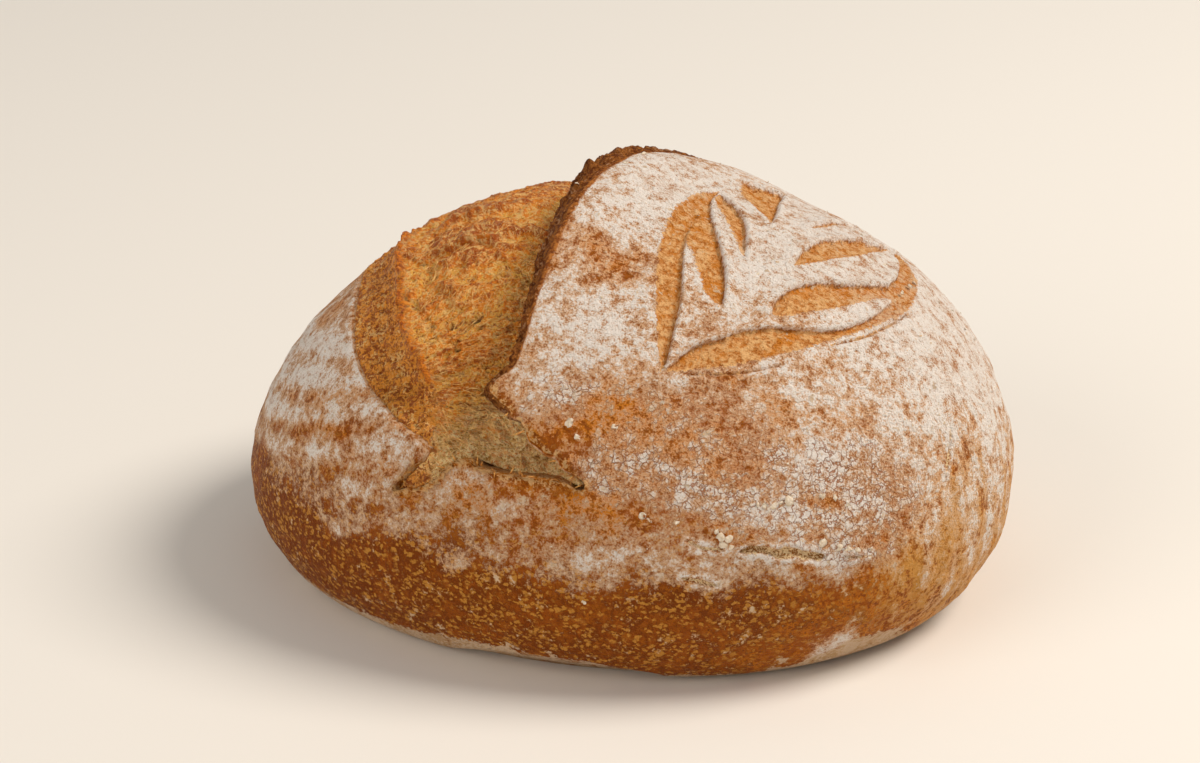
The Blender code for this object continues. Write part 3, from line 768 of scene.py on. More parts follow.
def lip_rows():
    """The opening's lip as rows of chart points and heights, from its edge down to its root."""
    edge = even_points(OPENING, LIP_STATIONS)
    ragged = on_chart(edge)
    torn = 1 - smooth_step(0.5, 5.0, gap_to(TEAR_CURVE, edge))
    on_ear = beside_ear(edge)
    into = inward(edge)
    rips = np.clip(torn + (on_ear > 0.5) * (edge[:, 1] < -60), 0, 1)
    bite = (0.3 + 0.8 * rips + 0.2 * on_ear) * fractal(ragged, 4.5, 41)
    edge = step_inward(edge, into, bite + 0.8 * rips * soft_noise(ragged, 1.7, 47))
    v = edge[:, 1]

    ear, face = ear_form(on_ear, v)
    rise = crust_rise(edge)
    lip = LIP * (1 - 0.55 * torn * (1 - ear))
    width = lip + ear * (face + 0.8 * fractal(ragged, 5.0, 53))
    fall = (ear_lift(v) + 0.3 * LIP) * (1 - smooth_step(*EAR_FALL_ENDS, v))
    rim = EAR_RIM * window(*EAR_RIM_SPAN, v)
    foot_height = rise - LIP * (1 - ear) - (fall - rim) * ear
    root_width = width + lip - EAR_TUCK * ear
    foot = step_inward(edge, into, width)
    root = step_inward(edge, into, root_width)
    root_height = np.minimum(bloom_height(root) - ROOT_DROP, foot_height - 2.0)

    tufts = sum(lift * fading(v - middle, spread) for middle, spread, lift in EAR_TUFTS)
    tufts = tufts * ear * smooth_step(-0.2, 0.5, soft_noise(ragged, 1.6, 67) + 0.3)
    rows = [(edge, rise, np.zeros(len(edge)))]
    for row in range(1, FACE_ROWS + 1):
        share = row / FACE_ROWS
        flat = edge + (foot - edge) * share
        bulge = (0.5 * ear + 0.15 * (1 - ear)) * math.sin(share * math.pi)
        height = rise + (foot_height - rise) * share + bulge
        bark = np.column_stack([flat, height])
        rough = 1.2 * fractal(bark, 3.4, 59) + 0.8 * soft_noise(bark * (1, 1, 1.6), 1.2, 61)
        rough = rough * (0.25 + 0.9 * ear + 0.3 * rips) * math.sin(min(share * 1.3, 1.0) * math.pi / 2)
        height = height + rough + tufts * fading(share - 0.5, 0.3)
        rows.append((flat, height, np.full(len(edge), share)))
    last = rows[-1]
    for row in range(1, ROOT_ROWS + 1):
        share = row / ROOT_ROWS
        rows.append((last[0] + (root - last[0]) * share ** 0.7, last[1] + (root_height - last[1]) * share,
                     np.full(len(edge), 1.0 + share)))
    return rows, ear, torn


def add_values(values, count, **given):
    """Appends a column of numbers to every list of values: those given, or their resting value."""
    resting = {"cut": FAR_OUTSIDE, "crack": FAR_OUTSIDE}
    for key in values:
        column = np.broadcast_to(given.get(key, resting.get(key, 0.0)), count)
        values[key] = np.concatenate([values[key], column])


def build_crust(material):
    """The crust as one closed mesh: outside, lips, the floor under the crumb, and the underside."""
    rows, ear, torn = lip_rows()
    edge = rows[0][0]
    turn = 2 * math.pi * np.arange(RIM_STATIONS) / RIM_STATIONS
    rim = FLAT * np.stack([np.cos(turn), np.sin(turn)], axis=-1)

    points = graded_points(CRUST_SPACINGS, crust_spacing)
    points = points[(np.hypot(*points.T) < FLAT - 1.5) & ~is_inside(edge, points)]
    points = points[gap_to(ring_of(edge), points, reach=2.0) > 0.35]
    flat, faces = chart_triangles([edge, rim], points, lambda middle: ~is_inside(edge, middle))

    opening_gap = np.minimum(gap_to(ring_of(edge), flat, reach=12.0), 12.0)
    leaf_depth, leaf_edge, wall, flush_side = leaf_cut(flat)
    crack_depth, crack_edge = crack_cut(flat)
    solid = crust_point(flat[:, 0], flat[:, 1])
    outside = np.maximum(-leaf_edge, 0.0)
    curl = LEAF_CURL[0] * fading(outside, LEAF_CURL[1]) * smooth_step(0.0, 0.6, outside) * (1 - flush_side)
    floor = leaf_depth * (LEAF_DEPTH + 0.55 * fractal(solid, 2.4, 73) + 0.3 * soft_noise(solid, 1.1, 79))
    relief = crust_relief(flat) * smooth_step(0.0, 2.0, opening_gap)
    height = crust_rise(flat) + relief + curl - floor - crack_depth
    height += CRACK_LIP * fading(crack_edge + CRACK_LIP_GAP, 0.7) * (0.5 + soft_noise(solid, 1.8, 89))
    tear_gap = gap_to(TEAR_CURVE, flat, reach=12.0)
    frayed = fading(opening_gap, 0.9) * fading(tear_gap, 2.0)
    height += frayed * (0.5 + 1.6 * np.clip(soft_noise(solid, 1.5, 83) + 0.1, 0, 1))
    height = np.where(np.hypot(*flat.T) > FLAT - 3, 0.0, height)
    torn_gap = np.minimum(tear_gap, gap_to(EAR_CURVE[EAR_CURVE[:, 1] < -82], flat, reach=12.0))
    ear_gap = gap_to(EAR_CURVE[EAR_CURVE[:, 1] > -78], flat, reach=12.0)
    values = {
        "flour": (flour_level(flat) - 0.5 * fading(torn_gap, 3.2)
                  + 0.5 * fading(crack_edge + CRACK_LIP_GAP, 0.9)),
        "belly": belly_and_side_shade_share(flat),
        "pale": lit_flank_share(flat),
        "crazed": crazed_share(flat),
        "cut": leaf_edge,
        "wall": wall,
        "flush": flush_side,
        "crack": crack_edge,
        "rim": base_rim(flat),
        "torn": fading(torn_gap, 2.2),
        "bark": fading(ear_gap, 1.3) * (1 - smooth_step(4, 16, flat[:, 1])),
        "lip": np.zeros(len(flat)),
        "burnt": np.zeros(len(flat)),
    }
    places = [raised(flat, height)]
    start = len(flat)
    quads = []

    # The lip's rows hang from the crust's own edge points.
    before = 0
    edge_flour = values["flour"][:LIP_STATIONS]
    for lip_flat, lip_height, share in rows[1:]:
        places.append(raised(lip_flat, lip_height))
        quads.append(strip(before, start, LIP_STATIONS))
        worn = np.clip(share - 0.4 * (1 - torn) * (1 - ear), 0.0, None)
        add_values(values, LIP_STATIONS, flour=edge_flour - 1.2 * worn, torn=torn, lip=worn, burnt=ear,
                   bark=ear)
        before = start
        start += LIP_STATIONS

    # The floor under the crumb.
    root = rows[-1][0]
    floor_flat, floor_faces = chart_triangles([root], lattice_inside(root, FLOOR_SPACING),
                                              lambda middle: is_inside(root, middle))
    inner = floor_flat[LIP_STATIONS:]
    places.append(raised(inner, bloom_height(inner) - FLOOR_DEPTH))
    number = np.concatenate([before + np.arange(LIP_STATIONS), start + np.arange(len(inner))])
    floor_faces = number[floor_faces]
    add_values(values, len(inner), lip=2.0)
    start += len(inner)

    # The flat underside.
    places.append(BOX_MIDDLE[None])
    here = np.arange(RIM_STATIONS)
    fan = np.stack([LIP_STATIONS + here, LIP_STATIONS + (here + 1) % RIM_STATIONS,
                    np.full(RIM_STATIONS, start)], axis=-1)
    add_values(values, 1, rim=1.0)
    faces = faces.tolist() + np.vstack(quads).tolist() + floor_faces.tolist() + fan.tolist()
    return make_object("crust", np.vstack(places), faces, values, material)


# ---------------------------------------------------------------------------------------------
# The crumb

CRUMB_SPACINGS = (0.46, 0.7, 1.1)
CRUMB_STATIONS = 520
SLAB_SPACING = 4.0


def ridge_place(v):
    """The u of the ridge at a v."""
    return np.interp(v, RIDGE_CURVE[::-1, 1], RIDGE_CURVE[::-1, 0])


def fan_place(flat):
    """How far out along the crumb's fibres, in millimetres, and their direction."""
    gap = flat - FAN_MIDDLE
    return np.hypot(*gap.T), np.arctan2(gap[:, 1], gap[:, 0])


def ridged(places, size, seed):
    """Noise whose high places are narrow ridges."""
    return 1 - 3 * np.abs(soft_noise(places, size, seed))


def crumb_relief(flat):
    """The crumb's own relief in millimetres, the painted shade of its open holes, its share right of
    the ridge, and the ridge's ragged crest."""
    u, v = flat.T
    level = on_chart(flat)
    right = smooth_step(-1.5, 3.0, u - ridge_place(v) + 1.2 * soft_noise(level, 3.0, 99))

    # Fibres fan out from the corner that tore last; further back the crumb is rounder.
    out, turn = fan_place(flat)
    bend = soft_noise(level, 8.0, 101)
    fibres = on_chart(np.column_stack([turn * 17 + bend, out / 8.0]))
    fine_fibres = on_chart(np.column_stack([turn * 38 + 2 * bend, out / 4.5]))
    fan_share = smooth_step(4, 14, out) * (1 - 0.8 * smooth_step(-30, -8, v))
    torn = fan_share * (0.42 * ridged(fibres, 1.0, 103) + 0.2 * ridged(fine_fibres, 1.0, 107))
    stretched = on_chart(np.column_stack([turn * 30, out * 0.42])) + 0.7 * bend[:, None]
    first, second = bubbles(stretched, 2.9, 109)
    walls, pits = np.clip(1 - (second - first) / 0.2, 0, 1), np.clip(1 - first / 0.6, 0, 1)
    patchy = 0.35 + 0.65 * smooth_step(-0.3, 0.4, fractal(level, 14.0, 127))
    torn += patchy * (0.5 * walls - 0.45 * pits)
    first, _ = bubbles(level + 7, 1.9, 113)
    pores = -np.clip(1 - first / 0.45, 0, 1)
    torn += 0.3 * ridged(level, 2.6, 129) + 0.26 * pores + 1.0 * fractal(level, 11.0, 131)
    baked = 0.4 * fractal(level, 6.0, 137) + 0.42 * ridged(level, 2.0, 138) + 0.4 * pores
    relief = right * torn + (1 - right) * baked + 0.24 * fractal(level, 1.3, 149, 2)
    relief += 0.6 * smooth_step(-34, -4, v) * soft_noise(level, 4.5, 147)

    spine = fading(gap_to(RIDGE_CURVE, flat) + 0.5 * soft_noise(level, 2.0, 152), 1.0)
    spine *= window(-88, -70, -2, 14, v)
    spine *= np.clip(0.6 + 0.6 * soft_noise(level, 3.2, 151) + 0.7 * soft_noise(level, 1.3, 153), 0, 1)
    relief += CREST_HEIGHT * spine
    wavy = flat + 1.1 * np.column_stack([soft_noise(level, 3.5, 157), soft_noise(level, 2.2, 158)])
    uneven = 1 + 0.5 * soft_noise(level, 2.4, 159)
    for line, height, slope in SHELVES:
        curve = curve_through(line, steps=4)
        gap, along = distance_to(curve, wavy, reach=9.0)
        behind = gap_to(curve + (0.0, 0.3), wavy, reach=9.0) < gap
        relief += height * tapered(along) * uneven * fading(gap, np.where(behind, slope, 0.45))
    hollow = np.zeros(len(flat))
    ragged = 0.5 * soft_noise(level, 1.3, 163)
    for middle, length, width, degrees, depth in HOLES:
        along, across = turned(flat, middle, degrees)
        reach = np.hypot(along / length, across / width) + ragged
        hole = 1 - smooth_step(0.5, 1.15, reach)
        relief += HOLE_RIM * fading(reach - 1.25, 0.25) - depth * hole
        # Deeper holes get more painted shade inside.
        hollow = np.maximum(hollow, hole * min(depth / 2.0, 1.0) ** 2)
    return relief, hollow, right, spine


def build_crumb(material):
    """The bloomed crumb as one closed slab with a finely torn top."""
    outline = even_points(OPENING, CRUMB_STATIONS)
    ear, face = ear_form(beside_ear(outline), outline[:, 1])
    width = 0.5 - 0.25 * fading(gap_to(TEAR_CURVE, outline), 3) + ear * (face - 1.4)
    outline = step_inward(outline, inward(outline), width)

    def wanted(flat):
        back = flat[:, 1] > 30 + 0.2 * (flat[:, 0] + 40)
        left = flat[:, 0] < -70
        return np.where(back, 2, np.where(left, 1, 0))

    points = graded_points(CRUMB_SPACINGS, wanted)
    points = points[is_inside(outline, points)]
    points = points[gap_to(ring_of(outline), points, reach=2.0) > 0.4]
    flat, faces = chart_triangles([outline], points, lambda middle: is_inside(outline, middle))
    relief, hollow, right, spine = crumb_relief(flat)
    out, turn = fan_place(flat)
    v = flat[:, 1]
    edge_gap = gap_to(ring_of(outline), flat)
    ear_gap = gap_to(EAR_CURVE, flat)
    tear_gap = gap_to(TEAR_CURVE, flat)
    shore = (smooth_step(8, 14, ear_gap) * 0.6 * fading(edge_gap, 3.5)
             - (0.8 - 0.8 * fading(tear_gap, 4)) * fading(edge_gap, 0.8))
    height = bloom_height(flat) + relief * (0.3 + 0.7 * smooth_step(0.0, 2.5, edge_gap)) + shore
    moist = np.clip(1.15 - tear_gap / 26, 0, 1) + 0.6 * fading(ear_gap, 7) * (v < 0)
    # Proud crumb browned more; the lowest crumb gets the shaded colour, as painted shade.
    bake_and_shade = (smooth_step(-1.4, 1.5, relief + 0.5 * spine)
            + 0.14 * smooth_step(-64, -46, v) + 0.14 * smooth_step(-38, -14, v))
    values = {
        "hollow": hollow,
        "torn_side": right,
        "spine": spine,
        "moist": np.clip(moist, 0, 1),
        "bake_and_shade": bake_and_shade,
        "fan": on_chart(np.column_stack([turn * 30, out * 0.3])) * MM,
    }

    low_flat, low_faces = chart_triangles([outline], lattice_inside(outline, SLAB_SPACING),
                                          lambda middle: is_inside(outline, middle))
    inner = low_flat[len(outline):]
    top = raised(flat, height)
    bottom = raised(inner, bloom_height(inner) - SLAB_DEPTH)
    wall = raised(outline, bloom_height(outline) - WALL_DEPTH)
    count = len(outline)
    wall_start, inner_start = len(flat), len(flat) + count
    number = np.concatenate([wall_start + np.arange(count), inner_start + np.arange(len(inner))])
    low_faces = number[low_faces][:, ::-1]
    added = count + len(inner)
    values = {key: np.concatenate([column, np.zeros((added, *column.shape[1:]))])
              for key, column in values.items()}
    faces = faces.tolist() + strip(0, wall_start, count).tolist() + low_faces.tolist()
    return make_object("crumb", np.vstack([top, wall, bottom]), faces, values, material)


# ---------------------------------------------------------------------------------------------
# Materials

# Blisters of the crust: their spacing in millimetres, and how much of a cell each fills.
BLISTERS = ((1.7, 0.56), (3.2, 0.42))
FLOUR_PLATE = 2.1
CRUMB_BUBBLE = 1.6


def add(tree, kind, values=None, out=0, **settings):
    """Adds a node with its settings, sets or links its inputs, and gives one of its outputs."""
    node = tree.nodes.new(kind)
    for key, value in settings.items():
        setattr(node, key, value)
    for key, value in (values or {}).items():
        if isinstance(value, bpy.types.NodeSocket):
            tree.links.new(value, node.inputs[key])
        else:
            is_colour = isinstance(value, str) and value.startswith("#")
            node.inputs[key].default_value = hex_to_linear(value) if is_colour else value
    return node.outputs[out]


def new_material(name):
    """A material with nothing in it yet, and a function that adds nodes to it."""
    material = bpy.data.materials.new(name)
    material.use_nodes = True
    material.node_tree.nodes.clear()
    return material, functools.partial(add, material.node_tree)


def summed(node, start, *terms):
    """A field: its start plus each factor times how far its socket is from a half."""
    offset = -0.5 * sum(factor for factor, _ in terms)
    field = node("ShaderNodeMath", {0: start, 1: offset}, operation="ADD")
    for factor, value in terms:
        field = node("ShaderNodeMath", {0: value, 1: factor, 2: field}, operation="MULTIPLY_ADD")
    return field


def laid(node, below, above, field, low, high, most=1.0):
    """One colour laid over another as a field passes from low to high, at most so thickly."""
    share = node("ShaderNodeMapRange", {"Value": field, 1: low, 2: high, 4: most},
                 interpolation_type="SMOOTHSTEP")
    return node("ShaderNodeMix", {"Factor": share, 6: below, 7: above}, out=2, data_type="RGBA")


def crust_material(settings):
    """Baked wheat crust, proved in a floured cane basket and baked on a hot stone.

    Thin, brittle and mottled: amber to chestnut where it is bare, with small pale blisters,
    and matt cream where rice flour stuck.
    """
    material, node = new_material("baked wheat crust, rice flour dusted")
    field, lay = functools.partial(summed, node), functools.partial(laid, node)
    place = node("ShaderNodeTexCoord", out="Object")
    noise = {size: node("ShaderNodeTexNoise", {"Vector": place, "Scale": PER_METRE / size, "Detail": 3.0,
                                               "Roughness": 0.62}) for size in (18.0, 6.0, 2.4, 1.0, 0.5)}
    read = {key: node("ShaderNodeAttribute", attribute_name=key, out="Fac")
            for key in ("flour", "belly", "pale", "crazed", "cut", "wall", "flush", "crack", "rim", "torn",
                        "bark", "lip", "burnt")}

    # Bare crust: clouds of browning, then finer mottling, and darker low on the loaf.
    browning = field(0.5, (1.2, noise[18.0]), (1.2, noise[2.4]), (1.0, noise[1.0]))
    bare = lay(settings.brown, settings.amber, browning, 0.36, 0.62)
    flecks = field(0.5, (1.0, noise[1.0]), (0.8, noise[6.0]), (0.6, noise[2.4]))
    bare = lay(bare, settings.chestnut, flecks, 0.42, 0.28, 0.6)
    # Darker low on the loaf; the stronger share on the shaded left and the weaker one on the lit right are
    # painted shade and light.
    low = field(read["belly"], (2.4, noise[18.0]), (2.6, noise[6.0]), (2.8, noise[2.4]), (2.4, noise[1.0]))
    bare = lay(bare, settings.deep, low, 0.3, 1.15, 0.92)
    # Painted light: the lit right flank is laid over in a paler golden.
    pale = field(read["pale"], (2.4, noise[6.0]), (2.2, noise[2.4]), (1.8, noise[1.0]))
    bare = lay(bare, settings.golden, pale, 0.2, 1.1, 0.82)

    # Pale blisters of about a millimetre, wider than high and ragged, thickest low on the loaf.
    warp = node("ShaderNodeTexNoise", {"Vector": place, "Scale": PER_METRE / 1.3, "Detail": 2.0},
                out="Color")
    lying = node("ShaderNodeMix", {"Factor": 0.0022, 4: place, 5: warp}, out=1, data_type="VECTOR")
    lying = node("ShaderNodeVectorMath", {0: lying, 1: (1.0, 1.0, 1.5)}, operation="MULTIPLY")
    blisters = 0.0
    for size, start in BLISTERS:
        cells = node("ShaderNodeTexVoronoi", {"Vector": lying, "Scale": PER_METRE / size})
        kept = node("ShaderNodeMapRange", {"Value": cells.node.outputs["Color"], 1: 0.2, 2: 0.7})
        blister = node("ShaderNodeMapRange", {"Value": cells, 1: start, 2: start - 0.26, 4: kept},
                       interpolation_type="SMOOTHSTEP")
        blisters = node("ShaderNodeMath", {0: blisters, 1: blister}, operation="MAXIMUM")
    most = node("ShaderNodeMapRange", {"Value": read["belly"], 1: -0.3, 4: 0.85})
    speckle = field(blisters, (1.6, noise[6.0]), (1.4, noise[1.0]))
    bare = lay(bare, settings.blister, speckle, 0.1, 0.9, most)

    # Flour: a level from the chart, broken up by noise at four sizes, with pinholes through it.
    cover = field(read["flour"], (1.5, noise[6.0]), (1.6, noise[2.4]), (1.0, noise[1.0]), (0.7, noise[0.5]))
    flour = field(0.5, (0.8, noise[6.0]), (1.0, noise[2.4]), (0.7, noise[0.5]))
    flour = lay(settings.flour_shade, settings.flour, flour, 0.3, 0.62)
    colour = lay(bare, settings.veil, cover, 0.02, 0.68, 0.82)
    colour = lay(colour, flour, cover, 0.54, 1.08, 0.94)
    pinholes = field(0.5, (1.4, noise[0.5]), (1.0, noise[2.4]), (0.8, noise[6.0]))
    colour = lay(colour, settings.craze, pinholes, 0.36, 0.24, 0.6)

    # Where the crust stretched, the dry flour on it crazed into small plates.
    warp = node("ShaderNodeTexNoise", {"Vector": place, "Scale": PER_METRE / 2.0, "Detail": 2.0},
                out="Color")
    warp = node("ShaderNodeMix", {"Factor": 0.0036, 4: place, 5: warp}, out=1, data_type="VECTOR")
    plates = node("ShaderNodeTexVoronoi", {"Vector": warp, "Scale": PER_METRE / FLOUR_PLATE},
                  feature="DISTANCE_TO_EDGE")
    here = field(read["crazed"], (2.4, noise[6.0]), (1.6, noise[2.4]))
    here = node("ShaderNodeMapRange", {"Value": here, 1: 0.3, 2: 0.9})
    craze = node("ShaderNodeMapRange", {"Value": plates, 1: 0.09, 2: 0.02, 4: here})
    craze = node("ShaderNodeMapRange", {"Value": cover, 1: 0.3, 2: 0.6, 4: craze})
    colour = lay(colour, settings.craze, craze, 0.0, 1.0, 0.8)

    # The floors of the leaf scoring, golden, with a dark line of painted shadow under each overhanging
    # edge.
    gold = field(0.5, (0.9, noise[2.4]), (0.8, noise[1.0]))
    gold = lay(settings.gold_dark, settings.gold, gold, 0.34, 0.66)
    gold = lay(gold, settings.amber, noise[6.0], 0.5, 0.64, 0.65)
    gold = lay(gold, settings.brown, field(0.5, (1.0, noise[0.5]), (0.6, noise[2.4])), 0.42, 0.3, 0.75)
    dusty = field(read["flour"], (1.6, noise[2.4]), (1.2, noise[1.0]))
    gold = lay(gold, settings.flour_shade, dusty, 1.1, 1.6, 0.4)
    wall = field(read["wall"], (1.2, noise[1.0]), (2.0, noise[6.0]))
    gold = lay(gold, settings.shadow, wall, 0.4, 1.0, 0.75)
    ragged = field(0.5, (2.4, noise[2.4]), (2.2, noise[1.0]))
    ragged = node("ShaderNodeMath", {0: ragged, 1: -0.5}, operation="ADD")
    ragged = node("ShaderNodeMath", {0: ragged, 1: read["flush"], 2: field(read["cut"], (0.9, noise[1.0]))},
                  operation="MULTIPLY_ADD")
    colour = lay(colour, gold, ragged, -0.05, 0.3)

    # Cracks show moist crumb; the base has a pale, floury rim.
    crumb = field(0.5, (1.4, noise[1.0]), (1.0, noise[0.5]))
    crumb = lay(settings.crack_shade, settings.crack, crumb, 0.36, 0.56)
    colour = lay(colour, crumb, field(read["crack"], (1.4, noise[1.0]), (0.8, noise[0.5])), -0.05, 0.3)
    rim = lay(settings.rim_shade, settings.rim, field(0.5, (1.0, noise[6.0]), (1.0, noise[1.0])), 0.35, 0.6)
    low = field(read["rim"], (1.8, noise[6.0]), (2.0, noise[2.4]), (1.2, noise[1.0]))
    colour = lay(colour, rim, low, 0.4, 0.66, 0.92)

    # Beside the tear the crust is bare and golden; beside the ear's edge it is bark.
    torn = lay(settings.amber, settings.gold, field(0.5, (1.2, noise[1.0]), (0.8, noise[2.4])), 0.34, 0.6)
    colour = lay(colour, torn, field(read["torn"], (1.6, noise[1.0]), (2.2, noise[2.4])), 0.5, 0.9)
    bark = lay(settings.burnt, settings.bark, field(0.5, (0.8, noise[2.4]), (0.9, noise[1.0])), 0.36, 0.66)
    bark = lay(bark, settings.bark_light, field(0.5, (1.0, noise[1.0]), (1.0, noise[6.0])), 0.6, 0.78, 0.8)
    colour = lay(colour, bark, field(read["bark"], (0.9, noise[1.0]), (0.8, noise[2.4])), 0.45, 0.7)
    lip = lay(settings.lip, settings.veil, field(0.5, (1.0, noise[1.0]), (1.0, noise[2.4])), 0.36, 0.56)
    lip = lay(lay(lip, torn, read["torn"], 0.0, 1.0), bark, read["burnt"], 0.0, 1.0)
    colour = lay(colour, lip, field(read["lip"], (0.4, noise[1.0])), 0.05, 0.22)

    # Relief too fine for the mesh, in millimetres.
    relief = field(0.0, (1.1, noise[2.4]), (1.0, noise[1.0]), (0.5, noise[0.5]), (-0.35, craze),
                   (0.16, blisters))
    torn_face = node("ShaderNodeMath", {0: read["burnt"], 1: read["torn"]}, operation="MAXIMUM")
    torn_face = node("ShaderNodeMath", {0: torn_face, 1: noise[1.0]}, operation="MULTIPLY")
    relief = node("ShaderNodeMath", {0: torn_face, 1: 2.2, 2: relief}, operation="MULTIPLY_ADD")
    bump = node("ShaderNodeBump", {"Height": relief, "Distance": MM})

    # Bare crust shines a little; flour is matt.
    rough = node("ShaderNodeMapRange", {"Value": cover, 1: 0.2, 2: 0.7, 3: 0.5, 4: 0.9})
    shader = node("ShaderNodeBsdfPrincipled", {"Base Color": colour, "Roughness": rough, "Normal": bump,
                                               "IOR": 1.45, "Specular IOR Level": 0.12})
    node("ShaderNodeOutputMaterial", {"Surface": shader}, out=slice(0))
    return material


def crumb_material(settings):
    """Torn wheat crumb that set and browned in the open air of the oven.

    Spongy and a little translucent: pale and moist deep in the tear, golden on its stretched
    skins, and orange-brown on whatever stands proud.
    """
    material, node = new_material("torn wheat crumb, oven browned")
    field, lay = functools.partial(summed, node), functools.partial(laid, node)
    place = node("ShaderNodeTexCoord", out="Object")
    read = {key: node("ShaderNodeAttribute", attribute_name=key, out="Fac")
            for key in ("bake_and_shade", "moist", "torn_side", "spine", "hollow")}
    fan = node("ShaderNodeAttribute", attribute_name="fan", out="Vector")
    noise = {size: node("ShaderNodeTexNoise", {"Vector": place, "Scale": PER_METRE / size, "Detail": 3.0,
                                               "Roughness": 0.62}) for size in (5.0, 1.8, 0.7)}
    fibre = node("ShaderNodeTexNoise", {"Vector": fan, "Scale": PER_METRE / 0.9, "Detail": 3.0,
                                        "Roughness": 0.6})
    warp = node("ShaderNodeTexNoise", {"Vector": fan, "Scale": PER_METRE / 3.0, "Detail": 2.0}, out="Color")
    warp = node("ShaderNodeMix", {"Factor": 0.003, 4: fan, 5: warp}, out=1, data_type="VECTOR")
    web = node("ShaderNodeTexVoronoi", {"Vector": warp, "Scale": PER_METRE / CRUMB_BUBBLE},
               feature="DISTANCE_TO_EDGE")

    # What stands proud took more colour; what lies lowest is painted in a shaded tone, as painted shade.
    baking = field(read["bake_and_shade"], (1.5, noise[5.0]), (1.8, noise[1.8]), (1.5, noise[0.7]), (0.8, fibre))
    colour = lay(settings.shaded, settings.pale, baking, -0.05, 0.2)
    colour = lay(colour, settings.golden, baking, 0.28, 0.62, 0.92)
    colour = lay(colour, settings.ember, baking, 0.74, 1.1, 0.9)
    # Painted shade: the low spots of the fine bump below are darkened as pits.
    colour = lay(colour, settings.pits, field(0.5, (1.2, noise[1.8]), (1.2, noise[0.7])), 0.38, 0.28, 0.7)
    moist = field(0.5, (1.0, noise[1.8]), (1.2, noise[0.7]), (0.6, fibre))
    moist = lay(settings.moist_dark, settings.moist, moist, 0.34, 0.52)
    moist = lay(moist, settings.golden, field(0.5, (1.4, noise[0.7]), (0.8, noise[1.8])), 0.6, 0.74, 0.8)
    colour = lay(colour, moist, field(read["moist"], (1.0, noise[5.0])), 0.3, 1.0, 0.9)

    # Fibres, and the walls between bubbles, show as fine pale lines.  A line runs where a noise
    # crosses its middle.
    for cloud, width, most in ((fibre, 0.02, 0.7), (noise[1.8], 0.012, 0.5)):
        line = node("ShaderNodeMath", {0: cloud, 1: -0.5}, operation="ADD")
        line = node("ShaderNodeMath", {0: line}, operation="ABSOLUTE")
        colour = lay(colour, settings.skin, line, width, 0.0, most)
    walls = field(0.5, (1.4, noise[1.8]), (1.2, noise[0.7]))
    walls = lay(settings.skin, settings.golden, walls, 0.46, 0.56)
    colour = lay(colour, walls, web, 0.12, 0.03, 0.6)

    # The band left of the ridge opened first and baked like crust.
    baked = field(0.5, (1.4, noise[1.8]), (1.4, noise[0.7]))
    baked = lay(settings.baked_dark, settings.baked, baked, 0.38, 0.56)
    # Painted highlights: pale skin on the high spots of the fine bump.
    baked = lay(baked, settings.skin, field(0.5, (1.2, noise[0.7]), (1.0, noise[5.0])), 0.6, 0.7, 0.85)
    baked = lay(baked, settings.ember, field(0.5, (1.0, noise[5.0]), (1.0, noise[1.8])), 0.42, 0.28, 0.8)
    colour = lay(colour, baked, read["torn_side"], 1.0, 0.1, 0.88)
    crest = lay(settings.ember, settings.golden, noise[0.7], 0.4, 0.56)
    colour = lay(colour, crest, field(read["spine"], (1.6, noise[1.8]), (1.0, noise[0.7])), 0.3, 0.6, 0.95)
    # Painted shade inside the open bubbles, more in deeper ones.
    colour = lay(colour, settings.hollow, read["hollow"], 0.3, 0.9, 0.8)

    relief = field(0.0, (1.0, fibre), (1.3, noise[0.7]), (1.3, noise[1.8]), (-0.5, web))
    bump = node("ShaderNodeBump", {"Height": relief, "Distance": MM})
    shader = node("ShaderNodeBsdfPrincipled",
                  {"Base Color": colour, "Roughness": 0.42, "Normal": bump, "IOR": 1.45,
                   "Specular IOR Level": 0.4, "Subsurface Weight": 0.15,
                   "Subsurface Radius": (0.9, 0.5, 0.25), "Subsurface Scale": 0.0012})
    node("ShaderNodeOutputMaterial", {"Surface": shader}, out=slice(0))
    return material


def plain_material(name, code, rough, grain_size, grain_height, second=None):
    """A matt material in one or two colours, with a grain whose size and height are in millimetres."""
    material, node = new_material(name)
    place = node("ShaderNodeTexCoord", out="Object")
    grain = node("ShaderNodeTexNoise", {"Vector": place, "Scale": PER_METRE / grain_size, "Detail": 3.0})
    share = node("ShaderNodeMapRange", {"Value": grain, 1: 0.35, 2: 0.65})
    colour = node("ShaderNodeMix", {"Factor": share, 6: code, 7: second or code}, out=2, data_type="RGBA")
    relief = node("ShaderNodeMath", {0: grain, 1: grain_height}, operation="MULTIPLY")
    bump = node("ShaderNodeBump", {"Height": relief, "Distance": MM})
    shader = node("ShaderNodeBsdfPrincipled", {"Base Color": colour, "Roughness": rough, "Normal": bump})
    node("ShaderNodeOutputMaterial", {"Surface": shader}, out=slice(0))
    return material


# ---------------------------------------------------------------------------------------------
# Scattered pieces, by Geometry Nodes

